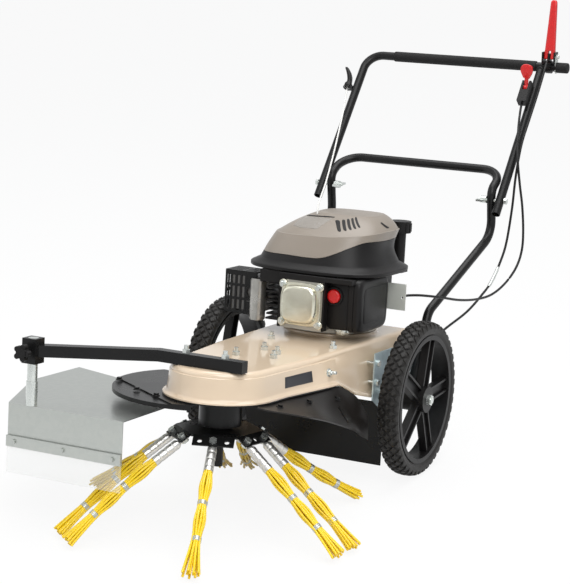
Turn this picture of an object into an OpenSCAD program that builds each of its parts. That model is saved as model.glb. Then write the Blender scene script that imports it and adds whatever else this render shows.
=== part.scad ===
/* [Wheels and axle] */
// Outer radius of the tyres, which is also the height of the axle
wheel_r = 180; // [165:1:200]
// Width of each tyre
tyre_w = 50; // [40:1:60]
// Middle of the machine to the middle of a tyre
wheel_x = 249.5; // [245:0.5:270]
// Height of the tyre's section, from the rim's seat to the tread
tyre_depth = 37; // [30:1:50]
// Height of the rim lips above the seat
rim_lip = 6; // [3:0.5:8]
// Radius of the wheel hub
hub_r = 30; // [24:1:40]
// Hub reach from the tyre's middle towards the machine
hub_in = 35; // [30:1:38]
// Hub reach from the tyre's middle outwards
hub_out = 26.5; // [20:0.5:32]
// Pairs of ribs that join the hub to the rim
spoke_count = 5; // [3:1:8]
// Radius of the axle
axle_r = 8; // [6:0.5:10]
// Nose-up angle of the chassis on its axle
nose_up = 5; // [3:0.5:6]

/* [Deck] */
// Height of the deck's top over the axle
deck_top = 125; // [115:1:140]
// Height of the rim's lower edge over the axle, at the nose
rim_z = 59; // [45:1:70]
// Distance from the axle forward to the brush spindle
spindle_reach = 491; // [460:1:520]
// Distance from the axle back to the engine shaft
engine_back = 40; // [20:1:55]
// Distance from the axle back to the end of the deck
deck_back = 190; // [180:1:220]
// Radius of the nose at the top
nose_r = 112; // [100:1:125]
// How far the rim stands out from the top edge at the nose
rim_flare = 14; // [10:1:18]
// Half width of the deck's top at its rear end
rear_half = 145; // [135:1:150]
// Half width of the rim at the arch
arch_half = 164; // [155:1:165]
// Sheet thickness of the deck
sheet = 2.5; // [2:0.1:3]
// Radius of the raised ring under the engine
ring_r = 112; // [104:1:120]
// Height of that ring
ring_h = 8; // [5:1:12]
// Thickness of the base plate, shields and brackets
plate_t = 3; // [2:0.5:4]

/* [Brush rotor] */
// Distance from the rotor's middle to a fold line
hex_apothem = 84; // [78:1:95]
// Height of the rotor plate over the axle plane
rotor_z = -18; // [-30:1:-12]
// Thickness of the rotor plate
rotor_t = 4; // [3:0.5:6]
// Length of each bent flange
flange_len = 25; // [22:1:30]
// Angle of the flanges below the plate
flange_drop = 36; // [30:1:42]
// Width of a flange
flange_w = 88; // [84:1:92]
// Distance of the outer brush holes from the flange's middle
hole_pitch = 29; // [24:1:34]
// Radius of the brush holes
brush_hole_r = 5.25; // [4.5:0.05:6]
// Turn of the first flange from straight ahead
rotor_turn = 21; // [0:1:59]
// Length of a ferrule
ferrule_len = 66; // [50:1:80]
// Outer radius of a ferrule
ferrule_r = 10.5; // [10.2:0.1:12]
// Free length of the brush cords
cord_len = 245; // [220:1:270]
// Cords in the outer circle of a bundle
outer_cords = 10; // [8:1:10]
// Cords in its inner circle
inner_cords = 4; // [3:1:4]
// Radius of a cord
cord_r = 1.9; // [1.4:0.1:2]
// Radius of the spindle in its bearings
spindle_r = 12.5; // [10:0.5:14]
// Radius of the spindle housing
housing_r = 46; // [40:1:52]
// Outer radius of the spindle bearings
bearing_r = 26; // [22:1:30]
// Width of the spindle bearings
bearing_w = 15; // [10:1:18]

/* [Belt drive] */
// Groove radius of the brush pulley
brush_pulley_r = 70; // [55:1:85]
// Groove radius of the engine pulley
engine_pulley_r = 40; // [30:1:50]
// Radius of the idler pulley
idler_r = 22; // [18:1:26]
// Width of the belt
belt_w = 9; // [7:0.5:11]
// Thickness of the belt
belt_t = 7; // [5:0.5:9]

/* [Engine] */
// Height of the cowl's lower lip over the deck
lip_over_deck = 150; // [146:1:165]
// Height of the lower cowl, from lip to split line
cowl_band = 41; // [36:1:50]
// Height of the upper cowl, from split line to crown
cowl_dome = 90; // [75:1:105]
// Half width of the cowl's lip
cowl_ax = 174; // [160:1:180]
// Half depth of the cowl's lip
cowl_ay = 160; // [150:1:165]
// Wall of the plastic covers
cover_t = 3; // [2:0.5:4]
// Radius of the crankcase above its base
case_r = 85; // [80:1:95]
// Radius of the crankshaft
crank_r = 12.5; // [10:0.5:14]
// Width of the valve cover
valve_w = 113; // [100:1:116]
// Height of the valve cover
valve_h = 107; // [95:1:110]
// Radius of the priming bulb
primer_r = 16; // [12:0.5:18]
// Radius of the fuel cap
cap_r = 26; // [20:1:30]

/* [Guard] */
// Side of the square arm
arm_side = 25; // [20:1:30]
// Distance of the arm in front of the spindle
arm_front = 72; // [60:1:80]
// Post position sideways from the spindle
post_side = 342; // [320:1:360]
// Post position forward of the spindle
post_front = 210; // [190:1:230]
// Radius of the post
post_r = 11; // [9:0.5:13]
// Height of the guard's top plate over the axle plane
guard_z = 19; // [10:1:24]
// Height of the guard's front skirt
guard_skirt = 94; // [80:1:110]
// Hang of the clear flap below the skirt
flap_hang = 58; // [45:1:62]
// Sheet thickness of the guard
guard_t = 2; // [1.5:0.5:3]

/* [Handle] */
// Radius of the handle tubes
tube_r = 11; // [10:0.5:12]
// Wall of the handle tubes
tube_wall = 1.8; // [1.2:0.1:2.5]
// Middle of the machine to the lower tubes at the fold
lower_x = 222; // [212:1:226]
// Clear space between lower and upper tubes at the fold
fold_gap = 2; // [1:0.5:4]
// Fold pivot, back from the axle
fold_y = 505; // [480:1:530]
// Fold pivot, above the ground
fold_z = 560; // [540:1:580]
// Length of the upper legs from fold to bar
leg_len = 411; // [380:1:440]
// Angle of the upper legs above level
leg_rise = 48.6; // [40:0.1:55]
// Upper leg below the fold
leg_tail = 40; // [25:1:50]
// Radius of the fold bolts
bolt_r = 4; // [3:0.5:5]
// Outer radius of the grip sleeve
grip_r = 13.5; // [13:0.5:15]
// Left end of the bar from the middle of the machine
bar_end = 317; // [300:1:330]
// Length of the clutch lever
lever_len = 145; // [120:1:170]
// Lean of the clutch lever to the rear
lever_lean = 7; // [0:1:12]

/* [Hidden] */
$fn = 48;

// Clearances: running fits, seats of loose pieces, bolt holes and pressed faces
run_gap = 0.05;
seat_gap = 0.3;
hole_gap = 0.25;
face_gap = 0.1;
// Overlap of shapes that are fused, and overshoot of cuts
melt = 1;

// Colours
steel = [0.72, 0.73, 0.74];
zinc = [0.66, 0.70, 0.70];
black = [0.07, 0.07, 0.075];
cream = [0.80, 0.71, 0.58];
taupe = [0.47, 0.44, 0.40];
cast = [0.62, 0.60, 0.54];
red = [0.80, 0.05, 0.04];
yellow = [0.93, 0.72, 0.08];

// Places in the deck's own frame, whose origin is the middle of the axle
spindle_y = -spindle_reach;
rim_r = nose_r + rim_flare;
arch_y = spindle_y + 245;
rim_low = 1;
base_z = rim_z - seat_gap - plate_t;
shield_z = base_z - seat_gap - plate_t;
crank_z = deck_top + ring_h + seat_gap;
lip_z = deck_top + lip_over_deck;
split_z = lip_z + cowl_band;
belt_z = deck_top - 26;
pulley_h = belt_w + 12;
bracket_x = arch_half + 4;
bracket_out = bracket_x + plate_t;

// Places in the machine's frame
upper_x = lower_x + 2 * tube_r + fold_gap;
leg_dir = [0, cos(leg_rise), sin(leg_rise)];
drawn_leg = 411;
leg_move = leg_dir * (leg_len - drawn_leg);
seat_r = wheel_r - tyre_depth;
bar_y = fold_y + leg_len * cos(leg_rise);
bar_z = fold_z + leg_len * sin(leg_rise);

// Guard outline from its front right corner round to its rear right one, in the deck's frame
guard_side = post_side + 144;
guard_front = -spindle_reach - post_front - 7;
guard_outline = [[-post_side - 53, guard_front], [-post_side + 232, guard_front],
    [-post_side + 231, guard_front + 292], [-guard_side + 3, guard_front + 409],
    [-guard_side, guard_front + 220]];

// The brush: nine bundles, one and two by turns on the six flanges
bundles = [for (k = [0:5]) for (off = k % 2 == 0 ? [0] : [-hole_pitch, hole_pitch]) [k, off]];
function flange_az(k) = -90 + rotor_turn + 60 * k;
hole_s = 14;
tongue_t = 4;
tongue_z = -rotor_t / 2 - face_gap - tongue_t / 2;
ferrule_s = flange_len + 2;
ferrule_bore = 9;
bore_depth = 14;
root_s = ferrule_s + ferrule_len - bore_depth;
root_t = 5;
collar_w = 11;
collar_at = [92, 172];
tip_lift = 12.6;

// Height of the ground under a point of the deck's frame, and the sag that brings a bundle's tip down to it
function ground_z(y) = (tip_lift - wheel_r + y * sin(nose_up)) / cos(nose_up);
tip_reach = hex_apothem + (root_s + cord_len) * cos(flange_drop) + tongue_z * sin(flange_drop);
tip_drop = rotor_z - (root_s + cord_len) * sin(flange_drop) + tongue_z * cos(flange_drop);
function tip_y(k, off) = spindle_y + tip_reach * sin(flange_az(k)) + off * cos(flange_az(k));
function sag(k, off) = (tip_drop - ground_z(tip_y(k, off))) / (cord_len * cord_len);
function bundle_axis(s, c) = [s + c * s * s * sin(flange_drop), -c * s * s * cos(flange_drop)];

// Middle of the machine's box on the ground, which is the origin
tip_flare = 6.58;
side_flare = 7;
front_reach = -(tip_y(0, 0) * cos(nose_up) + (ground_z(tip_y(0,
    0)) - tip_lift) * sin(nose_up)) + tip_flare;
brush_left = tip_reach * cos(flange_az(1)) - hole_pitch * sin(flange_az(1)) + side_flare;
rear_reach = bar_y + lever_len * sin(lever_lean) + 8;
frame_x = (max(bar_end, brush_left) - guard_side) / 2;
frame_y = (rear_reach - front_reach) / 2;

function unit(v) = v / norm(v);

// A point of the deck's frame in the machine's frame
function from_deck(p) = [
    p.x,
    p.y * cos(nose_up) + p.z * sin(nose_up),
    wheel_r - p.y * sin(nose_up) + p.z * cos(nose_up)
];

module at_machine() translate([-frame_x, -frame_y, 0]) children();
module at_deck() at_machine() translate([0, 0, wheel_r]) rotate([-nose_up, 0, 0]) children();
module at_spindle() at_deck() translate([0, spindle_y, 0]) children();
module at_engine() at_deck() translate([0, engine_back, deck_top]) children();
module at_flange(k) at_spindle() rotate([0, 0, flange_az(k)]) translate([hex_apothem, 0, rotor_z])
    rotate([0, flange_drop, 0]) children();
module at_leg(side, s) at_machine() translate([side * upper_x, fold_y, fold_z])
    rotate([leg_rise - 90, 0, 0]) translate([0, 0, s]) children();
module on_both_sides() {
    children();
    mirror([1, 0, 0]) children();
}

// A cylinder along X from x0 to x1
module x_rod(x0, x1, r) translate([x0, 0, 0]) rotate([0, 90, 0]) cylinder(h = x1 - x0, r = r);
// A cylinder along Y from y0 to y1
module y_rod(y0, y1, r) translate([0, y1, 0]) rotate([90, 0, 0]) cylinder(h = y1 - y0, r = r);
// A cylinder along Z from z0 to z1
module z_rod(z0, z1, r) translate([0, 0, z0]) cylinder(h = z1 - z0, r = r);
module z_hex(z0, z1, r) translate([0, 0, z0]) cylinder(h = z1 - z0, r = r, $fn = 6);
module ring(z0, z1, r_out, r_in) difference() {
    z_rod(z0, z1, r_out);
    z_rod(z0 - melt, z1 + melt, r_in);
}
// A box from its lowest to its highest corner
module box(low, high) translate(low) cube(high - low);

// Skin over rings of points, each counterclockwise as seen from the end of the run
module loft(rings, loop = false) {
    n = len(rings[0]);
    m = len(rings);
    sides = [for (k = [0:(loop ? m - 1 : m - 2)]) for (i = [0:n - 1])
        let (j = (i + 1) % n, up = ((k + 1) % m) * n, here = k * n)
        each [[here + i, up + i, up + j], [here + i, up + j, here + j]]];
    first = [for (i = [1:n - 2]) [0, i, i + 1]];
    last = [for (i = [1:n - 2]) [(m - 1) * n, (m - 1) * n + i + 1, (m - 1) * n + i]];
    polyhedron(points = [for (r = rings) each r], faces = loop ? sides : concat(sides, first, last));
}

// Turns +Z to run from p towards q
module aim(p, q) {
    z = unit(q - p);
    x = unit(cross(abs(z.z) < 0.9 ? [0, 0, 1] : [1, 0, 0], z));
    y = cross(z, x);
    multmatrix([[x.x, y.x, z.x, p.x], [x.y, y.y, z.y, p.y], [x.z, y.z, z.z, p.z], [0, 0, 0,
        1]]) children();
}
module rod(p, q, r) aim(p, q) cylinder(h = norm(q - p), r = r);

// Tube along points with a bend radius at each inner point: the middle line of the run with its directions
bend_steps = 4;
tube_sides = 12;
function bend_cut(pts, rads, i) = let (a = unit(pts[i] - pts[i - 1]), b = unit(pts[i + 1] - pts[i]))
    rads[i] * tan(acos(a * b) / 2);
function bend(pts, rads, i) = let (
    a = unit(pts[i] - pts[i - 1]),
    b = unit(pts[i + 1] - pts[i]),
    turn = acos(a * b),
    x = unit(a * (a * b) - b),
    c = pts[i] - a * bend_cut(pts, rads, i) - x * rads[i])
    [for (k = [0:bend_steps]) let (t = turn * k / bend_steps)
        [c + rads[i] * (x * cos(t) + a * sin(t)), a * cos(t) - x * sin(t)]];
function tube_line(pts, rads) = let (n = len(pts) - 1) concat([[pts[0], unit(pts[1] - pts[0])]],
    [for (i = [1:n - 1]) each bend(pts, rads, i)], [[pts[n], unit(pts[n] - pts[n - 1])]]);
function tube_ring(p, r, across) = let (u = unit(across - p[1] * (across * p[1])), v = cross(p[1], u))
    [for (k = [0:tube_sides - 1]) p[0] + r * (u * cos(360 * k / tube_sides)
        + v * sin(360 * k / tube_sides))];
module bent_tube(pts, rads, across) {
    line = tube_line(pts, rads);
    n = len(line) - 1;
    loft(concat([for (p = line) tube_ring(p, tube_r, across)],
        [for (i = [n:-1:0]) tube_ring(line[i], tube_r - tube_wall, across)]), loop = true);
}

// Cable along hand-laid points: a smooth run through them, with a ring every few diameters
cable_steps = 2;
function through(p, i, t) = let (n = len(p) - 1, a = p[max(i - 1, 0)], b = p[i], c = p[i + 1],
    d = p[min(i + 2, n)])
    0.5 * (2 * b + (c - a) * t + (2 * a - 5 * b + 4 * c - d) * t * t + (3 * b - a - 3 * c + d)
        * t * t * t);
function route(p) = concat([for (i = [0:len(p) - 2]) for (s = [0:cable_steps - 1]) through(p, i,
    s / cable_steps)],
    [p[len(p) - 1]]);
module cable(points, r, sides = 8) {
    c = route(points);
    n = len(c) - 1;
    loft([for (i = [0:n]) let (d = unit(c[min(i + 1, n)] - c[max(i - 1, 0)]), u = unit(cross([0, 0.4,
        1], d)), v = cross(d, u))
        [for (k = [0:sides - 1]) c[i] + r * (u * cos(360 * k / sides) + v * sin(360 * k / sides))]]);
}

// Deck: plan of its wall from rim (level 0) to top (level 1), from y_rear forward round the nose
side_steps = 15;
nose_steps = 20;
nose_from = 8;
top_half = [[spindle_y, nose_r], [spindle_y + 209, nose_r + 21], [spindle_y + 447, rear_half - 5],
    [deck_back, rear_half]];
rim_half = [[spindle_y, rim_r], [spindle_y + 57, rim_r + 4], [arch_y, arch_half], [deck_back, arch_half]];
rim_height = [[arch_y, rim_z], [arch_y + 92, rim_z - 38], [arch_y + 175, rim_low], [deck_back, rim_low]];
function wall_half(y, level) = lookup(y, rim_half) * (1 - level) + lookup(y, top_half) * level;
function plan(level, inset, y_rear) = let (
    y_front = spindle_y + 15,
    r = rim_r * (1 - level) + nose_r * level - inset,
    ys = [for (k = [0:side_steps]) y_rear + (y_front - y_rear) * k / side_steps])
    concat([for (y = ys) [inset - wall_half(y, level), y]],
        [for (k = [0:nose_steps]) let (a = nose_from - 180 + (180 - 2 * nose_from) * k / nose_steps)
            [r * cos(a), spindle_y + r * sin(a)]],
        [for (k = [side_steps:-1:0]) [wall_half(ys[k], level) - inset, ys[k]]]);
function deck_ring(level, inset, rise) = [for (p = plan(level, inset, deck_back - inset))
    [p.x, p.y, lookup(p.y, rim_height) * (1 - level) + deck_top * level + rise]];

// Bolts through the deck's top, and holes for them
deck_bolt_at = [[-20, 96], [0, 191], [-50, 321], [45, 166], [60, 119], [112, 311]];
arm_bolt_x = [44, -50];
deck_bolt_r = 4.8;
nut_r = 9;
nut_h = 8;
bracket_bolt_at = [[-60, 80], [-60, 35]];
leg_bolt_s = [22, 60];
idler_pivot = [105, 221];
idler_wheel = [83, 291];
idler_pin_r = 6;

module deck() color(cream) at_deck() difference() {
    union() {
        loft([deck_ring(1, 6 + sheet, -sheet), deck_ring(1, 1.5 + sheet, -3 - sheet), deck_ring(0.9,
            1 + sheet, -1),
            deck_ring(0.1, 7 + sheet, 1), deck_ring(0, 2 + sheet, 0), deck_ring(0, 0, 0), deck_ring(0,
                0, 3),
            deck_ring(0.1, 7, 2), deck_ring(0.9, 1, 0), deck_ring(1, 1.5, -3), deck_ring(1, 6, 0)]);
        translate([0, engine_back, 0]) z_rod(deck_top - melt, deck_top + ring_h, ring_r);
    }
    translate([0, engine_back, 0]) z_rod(deck_top - 2 * sheet, deck_top + ring_h + melt, crank_r + 20);
    for (p = deck_bolt_at) translate([p.x, spindle_y + p.y, 0])
        z_rod(deck_top - 2 * sheet, deck_top + melt, deck_bolt_r + hole_gap);
    for (x = arm_bolt_x) translate([x, spindle_y - arm_front, 0])
        z_rod(deck_top - 2 * sheet, deck_top + melt, deck_bolt_r + hole_gap);
    for (p = bracket_bolt_at) translate([0, p.x, p.y]) x_rod(-bracket_out, bracket_out,
        bolt_r + hole_gap);
    x_rod(-bracket_out, bracket_out, axle_r + melt);
}

module base_plate() color(black) at_deck() difference() {
    translate([0, 0, base_z]) linear_extrude(plate_t) polygon(plan(0, melt, arch_y - 12));
    translate([0, spindle_y, 0]) z_rod(base_z - melt, rim_z, housing_r + hole_gap);
}

shield_r = 189;
shield_at = [-76, 40];
shield_lip = 9;
// Fold line of the shield: its upper plate ends here and a lower crescent runs on to the edge
fold_from = [-257, 2];
fold_to = [-76, -120];
fold_run = (fold_to - fold_from) / norm(fold_to - fold_from);
fold_in = [-fold_run.y, fold_run.x];
module front_shield() color(black) at_spindle() intersection() {
    difference() {
        union() {
            intersection() {
                translate(shield_at) z_rod(shield_z - melt, shield_z + plate_t, shield_r);
                translate([0, 0, shield_z - 2 * melt]) linear_extrude(plate_t + 4 * melt)
                    polygon([fold_from - fold_run * shield_r, fold_to + fold_run * shield_r,
                        fold_to + (fold_run + 2 * fold_in) * shield_r,
                        fold_from + (2 * fold_in - fold_run) * shield_r]);
            }
            translate(shield_at) {
                z_rod(shield_z - plate_t, shield_z, shield_r);
                ring(shield_z - shield_lip, shield_z - melt, shield_r, shield_r - plate_t);
            }
        }
        z_rod(shield_z - 2 * shield_lip, rim_z, rim_r - 20);
    }
    box([-2 * shield_r, -2 * shield_r, shield_z - 2 * shield_lip], [0, 150, rim_z]);
}

// Side skirt stations: y from the arch, then x and z of its upper and lower edge
skirt_at = [[-304, rim_r - 8, 0, rim_r + 12, -2], [-250, rim_r - 10, 0, rim_r + 77, -16],
    [-154, rim_r + 2, 0, rim_r + 82, -42], [-54, rim_r + 20, 0, rim_r + 86, -74], [0, arch_half - 8, 0,
        rim_r + 84, -94],
    [46, arch_half + 20, -26, rim_r + 80, -114], [86, arch_half + 36, -76, rim_r + 76, -128]];
slot_y = -30;
slot_w = 13;
slot_from = 0.45;
slot_to = 0.86;
skirt_rows = [-304, -250, -154, -54, slot_y - slot_w / 2, slot_y + slot_w / 2, 0, 46, 86];
skirt_cols = [0, slot_from, slot_to, 1];
function skirt_edge(y, i) = lookup(y, [for (s = skirt_at) [s[0], s[i]]]);
function skirt_point(y, f) = [skirt_edge(y, 1) * (1 - f) + skirt_edge(y, 3) * f, arch_y + y,
    shield_z + plate_t + skirt_edge(y, 2) * (1 - f) + skirt_edge(y, 4) * f];
function two(a, b, c, d) = [[a, b, c], [a, c, d]];
module side_skirt() color(black) at_deck() {
    m = len(skirt_rows);
    n = len(skirt_cols);
    under = m * n;
    upper = [for (y = skirt_rows) for (f = skirt_cols) skirt_point(y, f)];
    lower = [for (p = upper) p - [0, 0, plate_t]];
    cells = [for (r = [0:m - 2]) for (c = [0:n - 2]) if (r != 4 || c != 1) r * n + c];
    sheet = [for (i = cells) each concat(two(i, i + n, i + n + 1, i + 1),
        two(under + i, under + i + 1, under + i + n + 1, under + i + n))];
    sides = [for (r = [0:m - 2]) let (i = r * n, j = r * n + n - 1)
        each concat(two(i, under + i, under + i + n, i + n), two(j + n, under + j + n, under + j, j))];
    ends = [for (c = [0:n - 2]) let (i = c, j = (m - 1) * n + c)
        each concat(two(i + 1, under + i + 1, under + i, i), two(j, under + j, under + j + 1, j + 1))];
    s = 4 * n + 1;
    slot = [for (e = [[s, s + 1], [s + 1, s + n + 1], [s + n + 1, s + n], [s + n, s]])
        each two(e[0], under + e[0], under + e[1], e[1])];
    polyhedron(points = concat(upper, lower), faces = concat(sheet, sides, ends, slot));
}

apron_drop = 152;
apron_y = -76;
module rear_apron() color(black) at_deck() translate([0, apron_y - seat_gap, 0]) rotate([90, 0, 0])
    linear_extrude(plate_t) polygon([[bracket_out, -rim_low - 4], [wheel_x - hub_in - 14, -30],
        [wheel_x - hub_in - 14, -apron_drop], [-100, -apron_drop], [-150, -apron_drop + 60],
            [-bracket_out, -rim_low - 4]]);

axle_end = wheel_x + hub_out + seat_gap + 11;
spacer_r = axle_r + 5;
module axle() color(steel) at_machine() translate([0, 0, wheel_r]) {
    x_rod(-axle_end, axle_end, axle_r);
    on_both_sides() x_rod(bracket_out + seat_gap, wheel_x - hub_in - seat_gap, spacer_r);
}

bracket_outline = [[-76, -66], [60, -66], [180, 0], [180, 92], [20, 105], [-76, 105]];
module axle_brackets() color(zinc) at_deck() on_both_sides() difference() {
    translate([bracket_x, 0, 0]) rotate([90, 0, 90]) linear_extrude(plate_t) polygon(bracket_outline);
    x_rod(bracket_x - melt, bracket_out + melt, axle_r + run_gap);
    for (p = bracket_bolt_at) translate([0, p.x, p.y]) x_rod(bracket_x - melt, bracket_out + melt,
        bolt_r + hole_gap);
    rotate([nose_up, 0, 0]) for (s = leg_bolt_s) translate(leg_point(s) - [0, 0, wheel_r])
        x_rod(bracket_x - melt, bracket_out + melt, bolt_r + hole_gap);
}

housing_top = 82;
housing_low = rotor_z + 10;
module spindle_housing() color(black) at_spindle() difference() {
    union() {
        z_rod(housing_low, housing_top, housing_r);
        z_rod(rim_z - seat_gap + face_gap, rim_z + 5, housing_r + 16);
    }
    z_rod(housing_low - melt, housing_top + melt, spindle_r + 4);
    z_rod(housing_low + 4, housing_low + 4 + bearing_w + face_gap, bearing_r + run_gap);
    z_rod(housing_top - bearing_w - face_gap, housing_top + melt, bearing_r + run_gap);
    z_rod(housing_low - melt, housing_low + 5, bearing_r + run_gap);
}
module spindle_bearings() color(steel) at_spindle() for (z = [housing_low + 4, housing_top - bearing_w])
    ring(z, z + bearing_w, bearing_r, spindle_r + run_gap);

// One through bolt with its nut standing on a seat at z = 0 and its head under a stack
module stud(stack) {
    z_rod(-stack - 8, 17, deck_bolt_r);
    z_hex(face_gap, nut_h, nut_r);
    z_hex(-stack - 8, -stack - face_gap, nut_r - 1);
}
valve_bolt_r = 5;
module fasteners() color(zinc) {
    at_deck() for (p = deck_bolt_at) translate([p.x, spindle_y + p.y, deck_top]) stud(sheet);
    at_deck() for (x = arm_bolt_x) translate([x, spindle_y - arm_front, deck_top + face_gap + arm_side])
        stud(arm_side + face_gap + sheet);
    at_deck() on_both_sides() for (p = bracket_bolt_at) translate([0, p.x, p.y]) {
        x_rod(rear_half - 20, bracket_out + 5, bolt_r);
        translate([bracket_out + face_gap, 0, 0]) rotate([0, 90, 0]) z_hex(0, 6, 2 * bolt_r);
    }
    at_machine() on_both_sides() for (s = leg_bolt_s) translate(leg_point(s)) {
        x_rod(bracket_x - 9, leg_foot.x + tube_r + 9, bolt_r);
        rotate([0, 90, 0]) z_hex(bracket_x - 9, bracket_x - face_gap, 2 * bolt_r);
        rotate([0, 90, 0]) z_hex(leg_foot.x + tube_r + 1, leg_foot.x + tube_r + 9, 2 * bolt_r);
    }
    at_machine() translate([0, 0, wheel_r]) on_both_sides() rotate([0, 90, 0]) difference() {
        z_hex(wheel_x + hub_out + seat_gap, axle_end - 2, axle_r + 5);
        z_rod(wheel_x, axle_end, axle_r + run_gap);
    }
    at_machine() translate([0, fold_y, fold_z]) on_both_sides() {
        x_rod(lower_x - tube_r - 22, upper_x + tube_r + 6, bolt_r);
        rotate([0, 90, 0]) z_hex(upper_x + tube_r + seat_gap, upper_x + tube_r + 7, 2 * bolt_r);
    }
    at_spindle() translate(idler_pivot) {
        z_rod(idler_z - 16, deck_top - sheet - seat_gap, idler_pin_r);
        z_rod(idler_z + 8, deck_top - sheet - seat_gap, idler_pin_r + 5);
        z_rod(idler_z - 16, idler_z - 13, idler_pin_r + 4);
    }
    at_engine() for (x = [-1, 1]) for (z = [-1, 1])
        translate([x * (valve_w / 2 - 11), 0, valve_z + z * (valve_h / 2 - 11)])
        y_rod(valve_y - 10, valve_y - face_gap, valve_bolt_r);
}

arm_axis = deck_top + face_gap + arm_side / 2;
arm_bend_x = -115;
arm_end_x = 91;
block_side = 34;
block_h = 54;
knob_stem_r = 4;
post_at = [-post_side, spindle_y - post_front];
module guard_arm() color(black) at_deck() {
    bend = [arm_bend_x, spindle_y - arm_front];
    run = unit([post_at.x - bend.x, post_at.y - bend.y]);
    side = [-run.y, run.x];
    mitre = ([0, -1] + side) * arm_side / 2 / (1 - side.y);
    tail = [post_at.x, post_at.y] - run * block_side / 4;
    difference() {
        union() {
            translate([0, 0, arm_axis - arm_side / 2]) linear_extrude(arm_side)
                polygon([[arm_end_x, bend.y - arm_side / 2], [arm_end_x, bend.y + arm_side / 2],
                    bend - mitre,
                    tail - side * arm_side / 2, tail + side * arm_side / 2, bend + mitre]);
            translate([post_at.x, post_at.y, arm_axis]) cube([block_side, block_side, block_h],
                center = true);
        }
        for (x = arm_bolt_x) translate([x, spindle_y - arm_front, 0])
            z_rod(deck_top - melt, deck_top + 2 * arm_side, deck_bolt_r + hole_gap);
        translate([post_at.x, post_at.y, 0]) z_rod(arm_axis - block_h, arm_axis + block_h,
            post_r + run_gap);
        translate([post_at.x, post_at.y, arm_axis]) y_rod(-block_side, 0, knob_stem_r + run_gap);
    }
}

// Lower handle: feet on the brackets, a low bend, a rise to the fold and the cross bar
leg_foot = [bracket_out + seat_gap + tube_r, 132, 176];
leg_knee = [leg_foot.x + 2, 210, 332];
leg_low = unit(leg_knee - leg_foot);
function leg_point(s) = [0, leg_foot.y + leg_low.y * s, leg_foot.z + leg_low.z * s];
bar_back = 79;
bar_rise = 62;
lower_right = [[-leg_foot.x, leg_foot.y, leg_foot.z], [-leg_knee.x, leg_knee.y, leg_knee.z],
    [-lower_x, fold_y + 12, fold_z - 90], [-lower_x, fold_y, fold_z + 25], [-lower_x,
        fold_y + bar_back, fold_z + bar_rise]];
lower_path = concat(lower_right, [for (i = [len(lower_right) - 1:-1:0]) [-lower_right[i].x,
    lower_right[i].y, lower_right[i].z]]);
lower_bends = [0, 50, 55, 28, 55, 55, 28, 55, 50, 0];
module lower_handle() color(black) at_machine() difference() {
    bent_tube(lower_path, lower_bends, [0.1, 1, 0]);
    translate([0, fold_y, fold_z]) x_rod(-lower_x - 2 * tube_r, lower_x + 2 * tube_r, bolt_r + hole_gap);
    for (s = leg_bolt_s) translate(leg_point(s))
        x_rod(-leg_foot.x - 2 * tube_r, leg_foot.x + 2 * tube_r, bolt_r + hole_gap);
}

// Engine, from the deck's top under the engine shaft
valve_y = -170;
valve_z = 80.5;
head_half = 52;
head_front = valve_y + 6;
case_top = lip_over_deck - seat_gap;
module crankcase() color(cast) at_engine() difference() {
    union() {
        z_rod(ring_h + seat_gap, ring_h + 14, ring_r - 12);
        z_rod(ring_h + 13, case_top, case_r);
        box([-head_half, head_front + seat_gap, 22], [head_half, 0, case_top - 4]);
        for (z = [34:11:122]) box([-head_half - 5, head_front + 20, z], [head_half - melt, -case_r,
            z + 4]);
    }
    z_rod(-melt, case_top + melt, crank_r + run_gap);
}
module valve_cover() color(cast) at_engine() difference() {
    union() {
        translate([0, 0, valve_z]) cube_y(valve_w, valve_h, valve_y, head_front);
        translate([0, 0, valve_z]) cube_y(valve_w - 38, valve_h - 24, valve_y - 14, valve_y + melt);
    }
    translate([0, 0, valve_z]) cube_y(valve_w - 46, valve_h - 32, valve_y - 11, head_front + melt);
}
module cube_y(w, h, y0, y1) translate([-w / 2, y0, -h / 2]) cube([w, y1 - y0, h]);

// Cowl outline: a rounded square with half sides a and b round a centre
cowl_steps = 32;
cowl_square = 3;
function soft(t) = sign(t) * pow(abs(t), 2 / cowl_square);
function cowl_ring(z, a, b, c) = [for (i = [0:cowl_steps - 1]) let (t = 360 * i / cowl_steps)
    [c.x + a * soft(cos(t)), c.y + b * soft(sin(t)), z]];
cowl_mid = [-12, 2];
crown_mid = [22, 22];
lip_in = 8;
lip_h = 9;
band_in = 16;
module cowl_lower() color(black) at_engine() {
    z0 = lip_over_deck;
    z1 = lip_over_deck + cowl_band;
    a = cowl_ax;
    b = cowl_ay;
    loft([cowl_ring(z0, a, b, cowl_mid), cowl_ring(z0 + lip_h, a, b, cowl_mid),
        cowl_ring(z0 + lip_h + 4, a - lip_in, b - lip_in, cowl_mid), cowl_ring(z1, a - band_in,
            b - band_in, cowl_mid),
        cowl_ring(z1, a - band_in - cover_t, b - band_in - cover_t, cowl_mid),
        cowl_ring(z0 + lip_h, a - lip_in - 2 * cover_t, b - lip_in - 2 * cover_t, cowl_mid),
        cowl_ring(z0, a - lip_in - 2 * cover_t, b - lip_in - 2 * cover_t, cowl_mid)], loop = true);
    loft([cowl_ring(z0, a - lip_in - melt, b - lip_in - melt, cowl_mid), cowl_ring(z0 + cover_t,
        a - lip_in - melt, b - lip_in - melt, cowl_mid),
        cowl_ring(z0 + cover_t, case_r - 12, case_r - 12, [0, 0]), cowl_ring(z0, case_r - 12,
            case_r - 12, [0, 0])], loop = true);
}
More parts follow.
